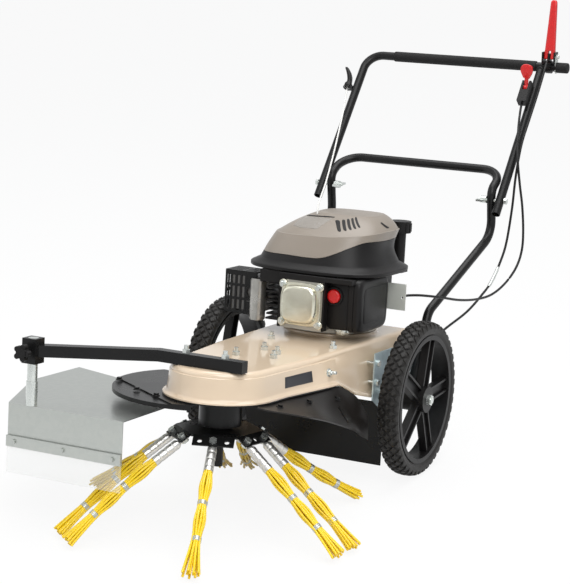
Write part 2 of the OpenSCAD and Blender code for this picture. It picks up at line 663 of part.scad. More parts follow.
// Upper cowl: rise over the split, inset and shift towards the crown at each ring
dome = [[0, 0, 0], [0.48, 34, 0.4], [0.76, 58, 0.7], [0.92, 78, 0.9], [1, 108, 1]];
dome_z = lip_over_deck + cowl_band + seat_gap;
function dome_ring(k, inset, drop) = cowl_ring(dome_z + cowl_dome * dome[k][0] - drop,
    cowl_ax - band_in - dome[k][1] - inset, cowl_ay - band_in - dome[k][1] + 4 * dome[k][2] - inset,
    cowl_mid + (crown_mid - cowl_mid) * dome[k][2]);
module cowl_upper() color(taupe) at_engine() loft(concat([for (k = [4:-1:1]) dome_ring(k, cover_t,
    cover_t)],
    [dome_ring(0, cover_t, 0)], [for (k = [0:4]) dome_ring(k, 0, 0)]));
neck_at = [92, 170];
neck_r = 15;
cap_low = 226;
cap_h = 28;
neck_top = cap_low + 14;
tank_low = 62;
tank_x = [-100, 70];
boss_h = 16;
tank_top = lip_over_deck - 4;
tank_back = neck_at.y + neck_r + cover_t;
module fuel_tank() color(black) at_engine() difference() {
    union() {
        box([tank_x[0], case_r + seat_gap, tank_low], [tank_x[1], tank_back, tank_top]);
        box([tank_x[1] - melt, neck_at.y - neck_r - cover_t, tank_top - boss_h],
            [neck_at.x + neck_r + cover_t, tank_back, tank_top]);
        translate(neck_at) z_rod(tank_top - melt, neck_top, neck_r);
    }
    box([tank_x[0] + cover_t, case_r + seat_gap + cover_t, tank_low + cover_t],
        [tank_x[1] - cover_t, tank_back - cover_t, tank_top - cover_t]);
    box([tank_x[1] - 2 * cover_t, neck_at.y - neck_r, tank_top - boss_h + cover_t],
        [neck_at.x + neck_r - cover_t, tank_back - cover_t, tank_top - cover_t]);
    translate(neck_at) z_rod(tank_top - 2 * cover_t, neck_top + melt, neck_r - cover_t);
}
module fuel_cap() color(black) at_engine() translate(neck_at) difference() {
    union() {
        z_rod(cap_low, cap_low + cap_h, cap_r);
        for (k = [0:11]) rotate([0, 0, 30 * k]) translate([cap_r - 1, -3, cap_low + 3]) cube([2.5, 6,
            cap_h - 8]);
    }
    z_rod(cap_low - melt, neck_top + seat_gap, neck_r + run_gap);
}

carb_x = head_half + seat_gap;
carb_front = -140;
carb_back = -68;
airbox_x = 108;
primer_at = [72, 105];
primer_throw = 5;
bowl_at = [84, -112];
module carburettor() color(black) at_engine() difference() {
    union() {
        box([carb_x, carb_front, 27], [airbox_x, carb_back, 136]);
        translate([bowl_at.x, bowl_at.y, 11]) z_rod(0, 20, 19);
    }
    translate([primer_at.x, 0, primer_at.y]) y_rod(carb_front - melt, carb_front + 12,
        primer_r + seat_gap);
}
module primer_bulb() color(red) at_engine() translate([primer_at.x, 0, primer_at.y]) {
    y_rod(carb_front - 6, carb_front + 12 - primer_throw - melt, primer_r);
    y_rod(carb_front - 11, carb_front - 5, primer_r - 5);
}
airbox_front = -146;
airbox_back = 16;
airbox_w = 32;
airbox_low = 22;
airbox_top = 148;
intake_at = [-104, 82];
module airbox_cover() color(black) at_engine() difference() {
    box([airbox_x + seat_gap, airbox_front, airbox_low], [airbox_x + airbox_w, airbox_back, airbox_top]);
    box([airbox_x + seat_gap + cover_t, airbox_front + cover_t, airbox_low + cover_t],
        [airbox_x + airbox_w - cover_t, airbox_back - cover_t, airbox_top - cover_t]);
    translate([0, intake_at.x, intake_at.y]) x_rod(airbox_x - melt, airbox_x + 2 * cover_t, 16);
}
module air_filter() color([0.2, 0.2, 0.22]) at_engine()
    box([airbox_x + 2 * seat_gap + cover_t, airbox_front + 14, airbox_low + 14],
        [airbox_x + airbox_w - cover_t - 4, airbox_back - 14, airbox_top - 14]);

muffler_x = -222;
muffler_in = -122;
muffler_front = -125;
muffler_low = 32;
muffler_top = 134;
module muffler() color(steel) at_engine() {
    box([muffler_x + 18, muffler_front + guard_t + seat_gap, muffler_low + 10], [muffler_in, -60,
        muffler_top - 12]);
    translate([0, -95, 80]) x_rod(muffler_in - melt, -head_half - 5 - seat_gap, 14);
}
grille_slots = 5;
module muffler_guard() color(black) at_engine() difference() {
    box([muffler_x, muffler_front, muffler_low], [-138, -58, muffler_top]);
    box([muffler_x + guard_t, muffler_front + guard_t, muffler_low - melt], [-137, -57,
        muffler_top - guard_t]);
    for (k = [0:grille_slots - 1]) for (row = [0, 1])
        translate([muffler_x + 9 + 16 * k, muffler_front - melt, muffler_low + 10 + 44 * row]) cube([8,
            2 * guard_t + melt, 36]);
}
shield_front = muffler_front - 6;
module heat_shield() color(steel) at_engine() {
    box([-156, shield_front - guard_t, 22], [-119, shield_front, 116]);
    box([muffler_in + seat_gap, shield_front - melt, 22], [muffler_in + seat_gap + guard_t,
        muffler_front + 12, 116]);
}
control_y = airbox_back + seat_gap;
control_t = 3;
control_hole = [172, 94];
module control_plate() color(zinc) at_engine() difference() {
    box([airbox_x + 6, control_y, 64], [181, control_y + control_t, 126]);
    translate([control_hole.x, 0, control_hole.y]) y_rod(control_y - melt, control_y + 4, 3);
}

module pulley(groove, bore) difference() {
    union() {
        z_rod(belt_z - pulley_h / 2, belt_z + pulley_h / 2, groove);
        for (z = [belt_z - pulley_h / 2, belt_z + pulley_h / 2 - 5.5]) z_rod(z, z + 5.5, groove + 6);
    }
    z_rod(belt_z - pulley_h, belt_z + pulley_h, bore + run_gap);
}
module belt_loop(grow) hull() {
    translate([0, spindle_y]) circle(brush_pulley_r + grow, $fn = 72);
    translate([0, engine_back]) circle(engine_pulley_r + grow, $fn = 72);
}
module drive_belt() color(black) at_deck() translate([0, 0, belt_z - belt_w / 2])
    linear_extrude(belt_w) difference() {
    belt_loop(belt_t);
    belt_loop(2 * seat_gap);
}

// Routes in the machine's frame: back from the axle and up from the ground
throttle_route = [[233, 671.3, 784.2] + leg_move, [236, 655, 768] + leg_move, [244, 624, 734],
    [256, 590, 696], [268, 563, 652], [275, 566, 592], [277, 584, 536], [278, 596, 470],
    [277, 594, 420], [273, 568, 380], [266, 512, 350], [258, 440, 335], [248, 362, 338],
    [238, 272, 354], [222, 190, 376], [198, 132, 390], [178, 104, 393.6], [172, 93, 393.4],
    [172, 80.3, 393]];
clutch_route = [[266, 766.9, 888] + leg_move, [266, 756, 884] + leg_move, [268, 736, 866] + leg_move,
    [268, 690, 810], [267, 640, 752], [266, 596, 700], [264.5, 574, 650], [263, 562, 600],
    [262, 551, 535], [259, 530, 455], [256, 504, 412], [250, 459, 365], [245, 408, 340],
    [235, 334, 311], [218, 244, 288], [206, 170, 268], [198, 100, 256], [190, 50, 249],
    [180, 30, 248], [172.3, 30, 248]];
rope_route = [[-273, 705, 786.6] + leg_move, [-272, 698, 780] + leg_move, [-262, 672, 770] + leg_move,
    [-220, 566, 740], [-172, 438, 704], [-120, 296, 664], [-72, 160, 628], [-37, 54, 603],
    [-29.1, 29.4, 580.4]];
cable_r = 3;
rope_r = 2;
module throttle_cable() color(black) at_machine() cable(throttle_route, cable_r);
module clutch_cable() color(black) at_machine() cable(clutch_route, cable_r);
module starter_rope() color([0.9, 0.9, 0.88]) at_machine() cable(rope_route, rope_r);

module crankshaft() color(steel) at_deck() translate([0, engine_back, 0])
    z_rod(belt_z - pulley_h / 2 - 3, lip_z + 34, crank_r);
module flywheel() color(cast) at_engine() ring(lip_over_deck + cover_t + 3,
    lip_over_deck + cover_t + 25, case_r + 25, crank_r + run_gap);
module engine_pulley() color(steel) at_deck() translate([0, engine_back, 0]) pulley(engine_pulley_r,
    crank_r);

stub_r = 10;
stub_len = 58;
module spindle() color(black) at_spindle() {
    z_rod(rotor_z - rotor_t / 2 - 24, belt_z + pulley_h / 2 + 4, spindle_r);
    z_rod(rotor_z + rotor_t / 2 + face_gap, housing_low + 3, spindle_r + 10);
    z_rod(rotor_z - rotor_t / 2 - 22, rotor_z - rotor_t / 2 - face_gap, spindle_r + 4);
    z_rod(rotor_z - rotor_t / 2 - 22 - stub_len, rotor_z - rotor_t / 2 - 20, stub_r);
}
module rotor_pulley() color(steel) at_spindle() pulley(brush_pulley_r, spindle_r);
module rotor_plate() color(black) {
    difference() {
        union() {
            at_spindle() rotate([0, 0, rotor_turn]) z_hex(rotor_z - rotor_t / 2, rotor_z + rotor_t / 2,
                hex_apothem / cos(30));
            for (k = [0:5]) at_flange(k) box([-2, -flange_w / 2, -rotor_t / 2], [flange_len,
                flange_w / 2, rotor_t / 2]);
        }
        at_spindle() z_rod(rotor_z - rotor_t, rotor_z + rotor_t, spindle_r + run_gap);
        for (k = [0:5]) for (off = [-hole_pitch, 0, hole_pitch]) at_flange(k) translate([hole_s, off, 0])
            z_rod(-2 * rotor_t, 2 * rotor_t, brush_hole_r);
    }
}
module rotor_bolts() color(zinc) for (b = bundles) at_flange(b[0]) translate([hole_s, b[1], 0]) {
    z_rod(tongue_z - tongue_t / 2 - 6, rotor_t / 2 + 5, brush_hole_r - hole_gap);
    z_hex(rotor_t / 2 + face_gap, rotor_t / 2 + 6, brush_hole_r + 3.3);
    z_hex(tongue_z - tongue_t / 2 - 6, tongue_z - tongue_t / 2 - face_gap, brush_hole_r + 3.3);
}
module brush_ferrules() color(steel) for (b = bundles) at_flange(b[0]) translate([0, b[1], tongue_z]) {
    difference() {
        union() {
            box([4, -9, -tongue_t / 2], [ferrule_s + 8, 9, tongue_t / 2]);
            x_rod(ferrule_s, ferrule_s + ferrule_len, ferrule_r);
        }
        translate([hole_s, 0, 0]) z_rod(-tongue_t, tongue_t, brush_hole_r);
        x_rod(root_s, ferrule_s + ferrule_len + melt, ferrule_bore);
    }
    for (s = collar_at) let (c = sag(b[0], b[1]), p = bundle_axis(s, c))
        translate([root_s + p[0], 0, p[1]]) rotate([0, atan2(2 * c * s * cos(flange_drop),
            1 + 2 * c * s * sin(flange_drop)), 0])
        rotate([0, 90, 0]) ring(-collar_w / 2, collar_w / 2, ferrule_r, ferrule_bore);
}

// Cords of a bundle: stations along the cord and how far the bundle spreads there
cord_at = [1, bore_depth + 2, 55, collar_at[0], 132, collar_at[1], cord_len];
spread = [1, 1, 1.9, 0.92, 1.8, 0.92, 1.5];
outer_circle = ferrule_bore - cord_r - 0.6;
inner_circle = outer_circle * 0.44;
module cord_strand(c, radius, turn) loft([for (i = [0:len(cord_at) - 1])
    let (p = bundle_axis(cord_at[i], c))
    [for (j = [0:2]) [root_s + p[0], spread[i] * radius * cos(turn) + cord_r * cos(turn + 120 * j),
        p[1] + spread[i] * radius * sin(turn) + cord_r * sin(turn + 120 * j)]]]);
module brush_bundles() color(yellow) for (b = bundles) at_flange(b[0]) translate([0, b[1], tongue_z]) {
    c = sag(b[0], b[1]);
    translate([root_s + face_gap, 0, 0]) rotate([0, 90, 0]) cylinder(h = root_t,
        r = ferrule_bore - face_gap, $fn = 12);
    for (i = [0:outer_cords - 1]) cord_strand(c, outer_circle, 360 * i / outer_cords);
    for (i = [0:inner_cords - 1]) cord_strand(c, inner_circle, 360 * (i + 0.5) / inner_cords);
}

idler_z = belt_z;
module idler_arm() color(zinc) at_spindle() difference() {
    union() {
        hull() {
            translate(idler_pivot) z_rod(idler_z - 12, idler_z - 7, idler_pin_r + 6);
            translate(idler_wheel) z_rod(idler_z - 12, idler_z - 7, idler_pin_r + 4);
        }
        translate(idler_pivot) z_rod(idler_z - 12, idler_z + 7.5, idler_pin_r + 5);
        translate(idler_wheel) z_rod(idler_z - 12, idler_z + 9, idler_pin_r - 1);
    }
    translate(idler_pivot) z_rod(idler_z - 20, idler_z + 20, idler_pin_r + run_gap);
}
module idler_pulley() color(black) at_spindle() translate(idler_wheel)
    ring(idler_z - 7 + seat_gap, idler_z + 7, idler_r, idler_pin_r - 1 + run_gap);

bead_half = tyre_w / 2 - 5.5;
module tyre() rotate([0, 90, 0]) rotate_extrude() polygon([[seat_r + face_gap, -bead_half],
    [seat_r + rim_lip + 1, -bead_half],
    [seat_r + rim_lip + 3, -tyre_w / 2 + 2], [(seat_r + wheel_r) / 2, -tyre_w / 2], [wheel_r - 5,
        -tyre_w / 2 + 3], [wheel_r, -tyre_w / 2 + 12],
    [wheel_r, tyre_w / 2 - 12], [wheel_r - 5, tyre_w / 2 - 3], [(seat_r + wheel_r) / 2, tyre_w / 2],
        [seat_r + rim_lip + 3, tyre_w / 2 - 2],
    [seat_r + rim_lip + 1, bead_half], [seat_r + face_gap, bead_half]]);
rim_wall = 5;
lip_t = 3;
rib_t = 5;
rib_half_gap = 14;
rib_w = 18;
web_t = 4;
// Turn of the spokes from upright, so that one points straight back
spoke_turn = -18;
module rim() difference() {
    union() {
        rotate([0, 90, 0]) ring(-bead_half, bead_half, seat_r, seat_r - rim_wall);
        for (x = [-bead_half - lip_t, bead_half + seat_gap]) rotate([0, 90, 0])
            ring(x, x + lip_t - seat_gap, seat_r + rim_lip, seat_r - rim_wall);
        for (x = [-bead_half - melt, bead_half - melt]) rotate([0, 90, 0])
            ring(x, x + 2 * melt, seat_r - melt, seat_r - rim_wall);
        x_rod(-hub_in, hub_out, hub_r);
        for (k = [0:spoke_count - 1]) rotate([spoke_turn + 360 * k / spoke_count, 0, 0]) {
            for (side = [-1, 1]) translate([-rib_w / 2 + 8, side * rib_half_gap - rib_t / 2, hub_r - 8])
                cube([rib_w, rib_t, seat_r - hub_r + 4]);
            translate([8 - web_t / 2, -rib_half_gap, hub_r - 8])
                cube([web_t, 2 * rib_half_gap, seat_r - hub_r + 4]);
        }
    }
    x_rod(-hub_in - melt, hub_out + melt, axle_r + run_gap);
}
module at_wheel(side) at_machine() translate([side * wheel_x, 0, wheel_r]) mirror([side < 0 ? 1 : 0, 0,
    0]) children();
module tyre_left() color([0.1, 0.1, 0.1]) at_wheel(1) tyre();
module tyre_right() color([0.1, 0.1, 0.1]) at_wheel(-1) tyre();
module rim_left() color(black) at_wheel(1) rim();
module rim_right() color(black) at_wheel(-1) rim();

// Upper handle: right leg and bar in one bent tube, left leg welded to the bar
corner_bend = 45;
module upper_handle() color(black) at_machine() {
    tail = [0, fold_y, fold_z] - leg_dir * leg_tail;
    frame = [[-upper_x, tail.y, tail.z], [-upper_x, bar_y, bar_z], [bar_end - 3, bar_y, bar_z]];
    difference() {
        bent_tube(frame, [0, corner_bend, 0], [0, leg_dir.z, -leg_dir.y]);
        translate([0, fold_y, fold_z]) x_rod(-upper_x - 2 * tube_r, 0, bolt_r + run_gap);
    }
    difference() {
        rod([upper_x, tail.y, tail.z], [upper_x, bar_y, bar_z], tube_r);
        rod([upper_x, tail.y, tail.z] - leg_dir * melt, [upper_x, bar_y,
            bar_z] - leg_dir * (tube_r + 4), tube_r - tube_wall);
        translate([0, fold_y, fold_z]) x_rod(0, upper_x + 2 * tube_r, bolt_r + run_gap);
        translate([0, bar_y, bar_z]) x_rod(0, bar_end, tube_r - tube_wall / 2);
    }
}
grip_from = -168;
grip_to = 232;
stub_from = 286;
module grip_sleeves() color(black) at_machine() translate([0, bar_y, bar_z]) {
    rotate([0, 90, 0]) ring(grip_from, grip_to, grip_r, tube_r + face_gap);
    rotate([0, 90, 0]) difference() {
        z_rod(stub_from, bar_end, grip_r);
        z_rod(stub_from - melt, bar_end - 3 + face_gap, tube_r + face_gap);
    }
}
lever_x = 266;
lever_up = 27;
ear_t = 6;
// Half width of the lever, and the two cheeks of its bracket that stand beside it
lever_half = 13.5;
cheek_out = 18;
cheek_half = 12;
cheek_low = 9;
pin_r = 3;
guide_s = leg_len - 111;
module handle_brackets() color(black) {
    at_machine() translate([lever_x, bar_y, bar_z]) difference() {
        union() {
            rotate([0, 90, 0]) z_rod(-ear_t / 2 - 4, ear_t / 2 + 4, tube_r + 5);
            box([-ear_t / 2, -9, 0], [ear_t / 2, 9, lever_up + 8]);
            box([-cheek_out, -cheek_half, cheek_low], [cheek_out, cheek_half, cheek_low + 5]);
            for (x = [-cheek_out, lever_half + seat_gap]) box([x, -cheek_half, cheek_low],
                [x + cheek_out - lever_half - seat_gap, cheek_half, lever_up + 12]);
        }
        x_rod(-20, 20, tube_r + face_gap);
        translate([0, 0, lever_up]) x_rod(-20, 20, pin_r + run_gap);
    }
    at_leg(-1, guide_s) {
        box([-tube_r - 8, -6, -5], [-tube_r - seat_gap, 6, 5]);
        translate([-tube_r - 16, 0, 0]) rotate_extrude() translate([10, 0]) circle(2.2);
    }
}
throttle_s = leg_len - 94;
box_x = [-25, -1];
throttle_pivot = [-13, -tube_r - 14, 8];
module throttle_housing() color(black) at_leg(1, throttle_s) difference() {
    box([box_x[0], -tube_r - 25, -38], [box_x[1], -tube_r - seat_gap, 24]);
    box([throttle_pivot.x - 6.5, -tube_r - 27, -3], [throttle_pivot.x + 6.5, -tube_r - 3.5, 26]);
    translate(throttle_pivot) x_rod(-9.5, 9.5, 2 + run_gap);
}
module throttle_lever() color(red) at_leg(1, throttle_s) translate(throttle_pivot) {
    x_rod(-6, 6, 8);
    x_rod(-9, 9, 2);
    rotate([-45, 0, 0]) {
        box([-5, -34, -2.5], [5, 0, 2.5]);
        translate([0, 0, -4]) linear_extrude(8)
            polygon([[-7, -26], [7, -26], [14, -42], [11, -57], [-8, -59], [-14, -45]]);
    }
}
module clutch_lever() color(red) at_machine() translate([lever_x, bar_y, bar_z + lever_up]) {
    difference() {
        rotate([-lever_lean, 0, 0]) translate([0, 7, 0]) rotate([90, 0, 0]) linear_extrude(14)
            polygon([[-lever_half, -7], [lever_half, -7], [lever_half, 12], [8, lever_len], [-8, lever_len],
                [-lever_half, 12]]);
        box([-ear_t / 2 - seat_gap, -20, -20], [ear_t / 2 + seat_gap, 20, 14]);
    }
    x_rod(-13, 13, pin_r);
}
grip_t = 14;
module starter_grip() color(black) at_leg(-1, guide_s) translate([-tube_r - 16, 0, 13.5]) rotate([90,
    0, 90])
    translate([0, 0, -grip_t / 2]) linear_extrude(grip_t)
    polygon([[-9.5, -11], [9.5, -11], [11, 8], [9, 40], [3, 50], [-6, 50], [-10, 36], [-9, 8]]);

knob_hub_r = 9;
knob_h = 15;
wing = 22;
module wing_nut() difference() {
    union() {
        z_rod(0, knob_h, knob_hub_r);
        box([-2.5, -wing, 3], [2.5, wing, knob_h + 6]);
    }
    z_rod(-melt, 2 * knob_h, bolt_r + run_gap);
}
module at_knob(side) at_machine() translate([side * (lower_x - tube_r - seat_gap), fold_y, fold_z])
    rotate([0, -side * 90, 0]) children();
module knob_left() color(steel) at_knob(1) wing_nut();
module knob_right() color(steel) at_knob(-1) wing_nut();

module guard_post() color(zinc) at_deck() translate([post_at.x, post_at.y, 0]) {
    z_rod(guard_z + face_gap, arm_axis + block_h / 2, post_r);
    z_rod(guard_z + face_gap, guard_z + 52, post_r + 1.5);
}
module guard_plate() color(steel) at_deck() {
    translate([0, 0, guard_z - guard_t]) linear_extrude(guard_t) polygon(guard_outline);
    box([guard_outline[0].x, guard_front, guard_z - guard_skirt], [guard_outline[1].x,
        guard_front + guard_t, guard_z - melt]);
}
strip_h = 24;
flap_t = 2;
module flap_strip() color(zinc) at_deck() {
    box([guard_outline[0].x, guard_front - 2 * guard_t - flap_t, guard_z - guard_skirt],
        [guard_outline[1].x, guard_front - guard_t - flap_t + 1.8, guard_z - guard_skirt + strip_h]);
    for (k = [0, 0.5, 1])
        translate([guard_outline[0].x + 20 + k * (guard_outline[1].x - guard_outline[0].x - 40), 0,
        guard_z - guard_skirt + strip_h / 2]) y_rod(guard_front - 2 * guard_t - flap_t - 4,
            guard_front - 2 * guard_t - flap_t + melt, 5);
}
module clear_flap() color([0.8, 0.85, 0.85, 0.3]) at_deck()
    box([guard_outline[0].x, guard_front - face_gap - flap_t, guard_z - guard_skirt - flap_hang],
        [guard_outline[1].x, guard_front - face_gap, guard_z - guard_skirt + strip_h]);
knob_out = 24;
module guard_knob() color(black) at_deck() translate([post_at.x, post_at.y, arm_axis]) {
    y_rod(-block_side / 2 - knob_out + 8, -post_r - seat_gap, knob_stem_r);
    y_rod(-block_side / 2 - knob_out - 6, -block_side / 2 - knob_out + 9, 12);
    for (k = [0:4]) rotate([0, 72 * k, 0]) translate([13, 0, 0]) y_rod(-block_side / 2 - knob_out - 5,
        -block_side / 2 - knob_out + 8, 6);
}

deck();
base_plate();
front_shield();
side_skirt();
rear_apron();
axle();
axle_brackets();
spindle_housing();
spindle_bearings();
fasteners();
guard_arm();
lower_handle();
crankcase();
valve_cover();
cowl_lower();
cowl_upper();
fuel_tank();
carburettor();
airbox_cover();
air_filter();
muffler();
muffler_guard();
heat_shield();
control_plate();
drive_belt();
throttle_cable();
clutch_cable();
starter_rope();
crankshaft();
flywheel();
engine_pulley();
spindle();
rotor_pulley();
rotor_plate();
brush_ferrules();
brush_bundles();
rotor_bolts();
idler_arm();
idler_pulley();
tyre_left();
rim_left();
tyre_right();
rim_right();
upper_handle();
grip_sleeves();
handle_brackets();
throttle_housing();
clutch_lever();
throttle_lever();
starter_grip();
knob_left();
knob_right();
guard_post();
guard_plate();
flap_strip();
clear_flap();
guard_knob();
fuel_cap();
primer_bulb();
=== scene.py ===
"""Looks of a walk-behind power brush sweeper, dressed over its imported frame.

Lengths are metres. Sub-assemblies give their sizes in the machine's own frame, whose origin is on the
ground under the axle, or in the deck's frame, which is pitched nose-up about the axle.
"""

from __future__ import annotations

import logging
import math
from dataclasses import dataclass, field
from enum import Enum
from typing import Sequence

import bpy
import numpy as np
from mathutils import Matrix, Vector


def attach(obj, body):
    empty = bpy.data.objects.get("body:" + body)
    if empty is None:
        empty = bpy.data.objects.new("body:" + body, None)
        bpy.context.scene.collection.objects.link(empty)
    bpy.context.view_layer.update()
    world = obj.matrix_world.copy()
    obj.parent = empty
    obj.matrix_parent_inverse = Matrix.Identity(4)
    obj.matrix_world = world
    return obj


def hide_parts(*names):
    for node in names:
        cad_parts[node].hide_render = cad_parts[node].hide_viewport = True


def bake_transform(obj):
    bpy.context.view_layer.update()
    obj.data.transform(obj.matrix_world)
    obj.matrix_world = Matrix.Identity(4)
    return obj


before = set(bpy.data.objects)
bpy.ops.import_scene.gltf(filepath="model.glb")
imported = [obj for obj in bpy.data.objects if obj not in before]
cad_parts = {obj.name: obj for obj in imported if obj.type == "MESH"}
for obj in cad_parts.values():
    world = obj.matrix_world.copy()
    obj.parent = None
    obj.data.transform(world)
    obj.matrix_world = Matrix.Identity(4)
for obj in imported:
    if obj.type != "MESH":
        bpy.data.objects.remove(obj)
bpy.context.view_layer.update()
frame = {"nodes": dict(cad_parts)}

LOG = logging.getLogger("sweeper")
Array = np.ndarray
Skin = tuple[Array, list[list[int]]]
Station = tuple[float, float, float, float, float, float]

FRAME_SHIFT = np.array([-0.0674917, -0.0174186, 0.0])
AXLE_HEIGHT = 0.18
NOSE_UP = math.radians(5.0)
DECK_TOP = 0.125
SPINDLE_Y = -0.491
ENGINE_Y = 0.040
ARCH_Y = -0.246
HANDLE_FOLD = (0.505, 0.560)
LEG_RISE = math.radians(48.6)
LEG_X = 0.246
MM_PER_M = 1000.0
CORD_FACING = (0.1, 0.9, 0.4)

COAT_ROUGHNESS = 0.08
MOTTLE_DETAIL = 4.0
MOTTLE_RANGE = (0.25, 0.75)
RELIEF_DETAIL = 3.0
RELIEF_STRENGTH = 0.6
LEAST_ROUGHNESS = 0.02


def machine(points: Array | Sequence) -> Array:
    """Moves points of the machine's frame into the row's frame."""
    return np.asarray(points, float) - FRAME_SHIFT


def deck(points: Array | Sequence) -> Array:
    """Pitches points about the axle and moves them into the row's frame.

    Args:
        points: Points of the deck's frame, on the last axis.

    Returns:
        The points in the row's frame.
    """
    p = np.asarray(points, float)
    c, s = math.cos(NOSE_UP), math.sin(NOSE_UP)
    x, y, z = p[..., 0], p[..., 1], p[..., 2]
    return machine(np.stack([x, y * c + z * s, AXLE_HEIGHT - y * s + z * c], -1))


def engine(points: Array | Sequence) -> Array:
    """Moves points given from the deck's top under the engine shaft into the row's frame."""
    return deck(np.asarray(points, float) + np.array([0.0, ENGINE_Y, DECK_TOP]))


def facing(direction: Sequence[float]) -> Array:
    """Turns a direction of the deck's frame into the row's frame."""
    return deck(direction) - deck((0, 0, 0))


DECK_UP = facing((0, 0, 1))
DECK_FRONT = facing((0, -1, 0))


def unit(v: Array) -> Array:
    """Scales vectors along the last axis to length one."""
    return v / np.linalg.norm(v, axis=-1, keepdims=True)


def quarter(count: int) -> Array:
    """Angles of a quarter turn in equal steps."""
    return np.radians(np.linspace(0, 90, count))


class Grain(Enum):
    """Kinds of surface detail a finish can carry."""

    PAINT = "paint"
    POWDER = "powder coat"
    ZINC = "zinc"
    SPANGLE = "spangle"
    CAST = "cast"
    MOULDED = "moulded"
    RUBBER = "rubber"
    FOAM = "foam"
    CORD = "cord"
    CLEAR = "clear"
    ROPE = "rope"


@dataclass(frozen=True)
class GrainScale:
    """Pattern sizes of a grain: mottling, fine relief and how strongly each shows."""

    mottle: float
    mottle_share: float
    relief: float
    relief_depth: float
    rough_share: float


GRAIN_SCALES: dict[Grain, GrainScale] = {
    Grain.PAINT: GrainScale(9.0, 0.25, 160.0, 0.00004, 0.10),
    Grain.POWDER: GrainScale(14.0, 0.35, 900.0, 0.00012, 0.18),
    Grain.ZINC: GrainScale(70.0, 0.45, 420.0, 0.00003, 0.20),
    Grain.SPANGLE: GrainScale(110.0, 0.22, 300.0, 0.00003, 0.15),
    Grain.CAST: GrainScale(30.0, 0.45, 380.0, 0.00030, 0.25),
    Grain.MOULDED: GrainScale(18.0, 0.35, 1100.0, 0.00012, 0.15),
    Grain.RUBBER: GrainScale(26.0, 0.45, 700.0, 0.00025, 0.20),
    Grain.FOAM: GrainScale(40.0, 0.50, 650.0, 0.00060, 0.15),
    Grain.CORD: GrainScale(16.0, 0.30, 240.0, 0.00002, 0.12),
    Grain.CLEAR: GrainScale(7.0, 0.25, 60.0, 0.00020, 0.20),
    Grain.ROPE: GrainScale(80.0, 0.50, 900.0, 0.00040, 0.15),
}


@dataclass(frozen=True)
class Finish:
    """One surface finish: its two mottled colours, gloss and grain.

    Attributes:
        name: Name of the material.
        colour: Main colour, linear RGB.
        second: Colour the mottling runs towards.
        roughness: Middle roughness.
        grain: Kind of surface detail.
        metallic: Share of metal.
        coat: Weight of a clear coat.
        alpha: Cover, below one for a clear sheet.
        specular: Strength of the surface gloss, 0.5 for most.
    """

    name: str
    colour: tuple[float, float, float]
    second: tuple[float, float, float]
    roughness: float
    grain: Grain
    metallic: float = 0.0
    coat: float = 0.0
    alpha: float = 1.0
    specular: float = 0.5

    def material(self) -> bpy.types.Material:
        """Builds the material once, with colour, roughness and bump from its own nodes.

        Returns:
            The material, the same one on every call.
        """
        found = bpy.data.materials.get(self.name)
        if found is not None and found.use_nodes and found.get("dressed"):
            return found
        mat = bpy.data.materials.new(self.name)
        mat.use_nodes = True
        mat["dressed"] = True
        tree = mat.node_tree
        shader = tree.nodes["Principled BSDF"]
        scale = GRAIN_SCALES[self.grain]
        place = tree.nodes.new("ShaderNodeTexCoord").outputs["Object"]
        shader.inputs["Metallic"].default_value = self.metallic
        shader.inputs["Coat Weight"].default_value = self.coat
        shader.inputs["Coat Roughness"].default_value = COAT_ROUGHNESS
        shader.inputs["Alpha"].default_value = self.alpha
        shader.inputs["Specular IOR Level"].default_value = self.specular
        mottle = self._mottle(tree, place, scale)
        blend = tree.nodes.new("ShaderNodeMix")
        blend.data_type = "RGBA"
        blend.inputs["A"].default_value = (*self.colour, 1.0)
        blend.inputs["B"].default_value = (*self.second, 1.0)
        tree.links.new(mottle, blend.inputs["Factor"])
        tree.links.new(blend.outputs["Result"], shader.inputs["Base Color"])
        gloss = tree.nodes.new("ShaderNodeMapRange")
        gloss.inputs["To Min"].default_value = max(LEAST_ROUGHNESS, self.roughness * (1.0 - scale.rough_share))
        gloss.inputs["To Max"].default_value = min(1.0, self.roughness * (1.0 + scale.rough_share))
        tree.links.new(mottle, gloss.inputs["Value"])
        tree.links.new(gloss.outputs["Result"], shader.inputs["Roughness"])
        relief = tree.nodes.new("ShaderNodeTexNoise")
        relief.inputs["Scale"].default_value = scale.relief
        relief.inputs["Detail"].default_value = RELIEF_DETAIL
        tree.links.new(place, relief.inputs["Vector"])
        bump = tree.nodes.new("ShaderNodeBump")
        bump.inputs["Strength"].default_value = RELIEF_STRENGTH
        bump.inputs["Distance"].default_value = scale.relief_depth
        tree.links.new(relief.outputs["Fac"], bump.inputs["Height"])
        tree.links.new(bump.outputs["Normal"], shader.inputs["Normal"])
        return mat

    def _mottle(self, tree: bpy.types.NodeTree, place: bpy.types.NodeSocket,
                scale: GrainScale) -> bpy.types.NodeSocket:
        """Adds the mottling: flakes for spangled zinc, soft clouds for all else.

        Args:
            tree: Node tree of the material.
            place: Socket of the object coordinates.
            scale: Pattern sizes of the grain.

        Returns:
            Socket of the mottling, from zero to the grain's share.
        """
        if self.grain is Grain.SPANGLE:
            cloud = tree.nodes.new("ShaderNodeTexVoronoi")
            out = cloud.outputs["Color"]
        else:
            cloud = tree.nodes.new("ShaderNodeTexNoise")
            cloud.inputs["Detail"].default_value = MOTTLE_DETAIL
            out = cloud.outputs["Fac"]
        cloud.inputs["Scale"].default_value = scale.mottle
        tree.links.new(place, cloud.inputs["Vector"])
        reach = tree.nodes.new("ShaderNodeMapRange")
        reach.inputs["From Min"].default_value, reach.inputs["From Max"].default_value = MOTTLE_RANGE
        reach.inputs["To Max"].default_value = scale.mottle_share
        tree.links.new(out, reach.inputs["Value"])
        return reach.outputs["Result"]


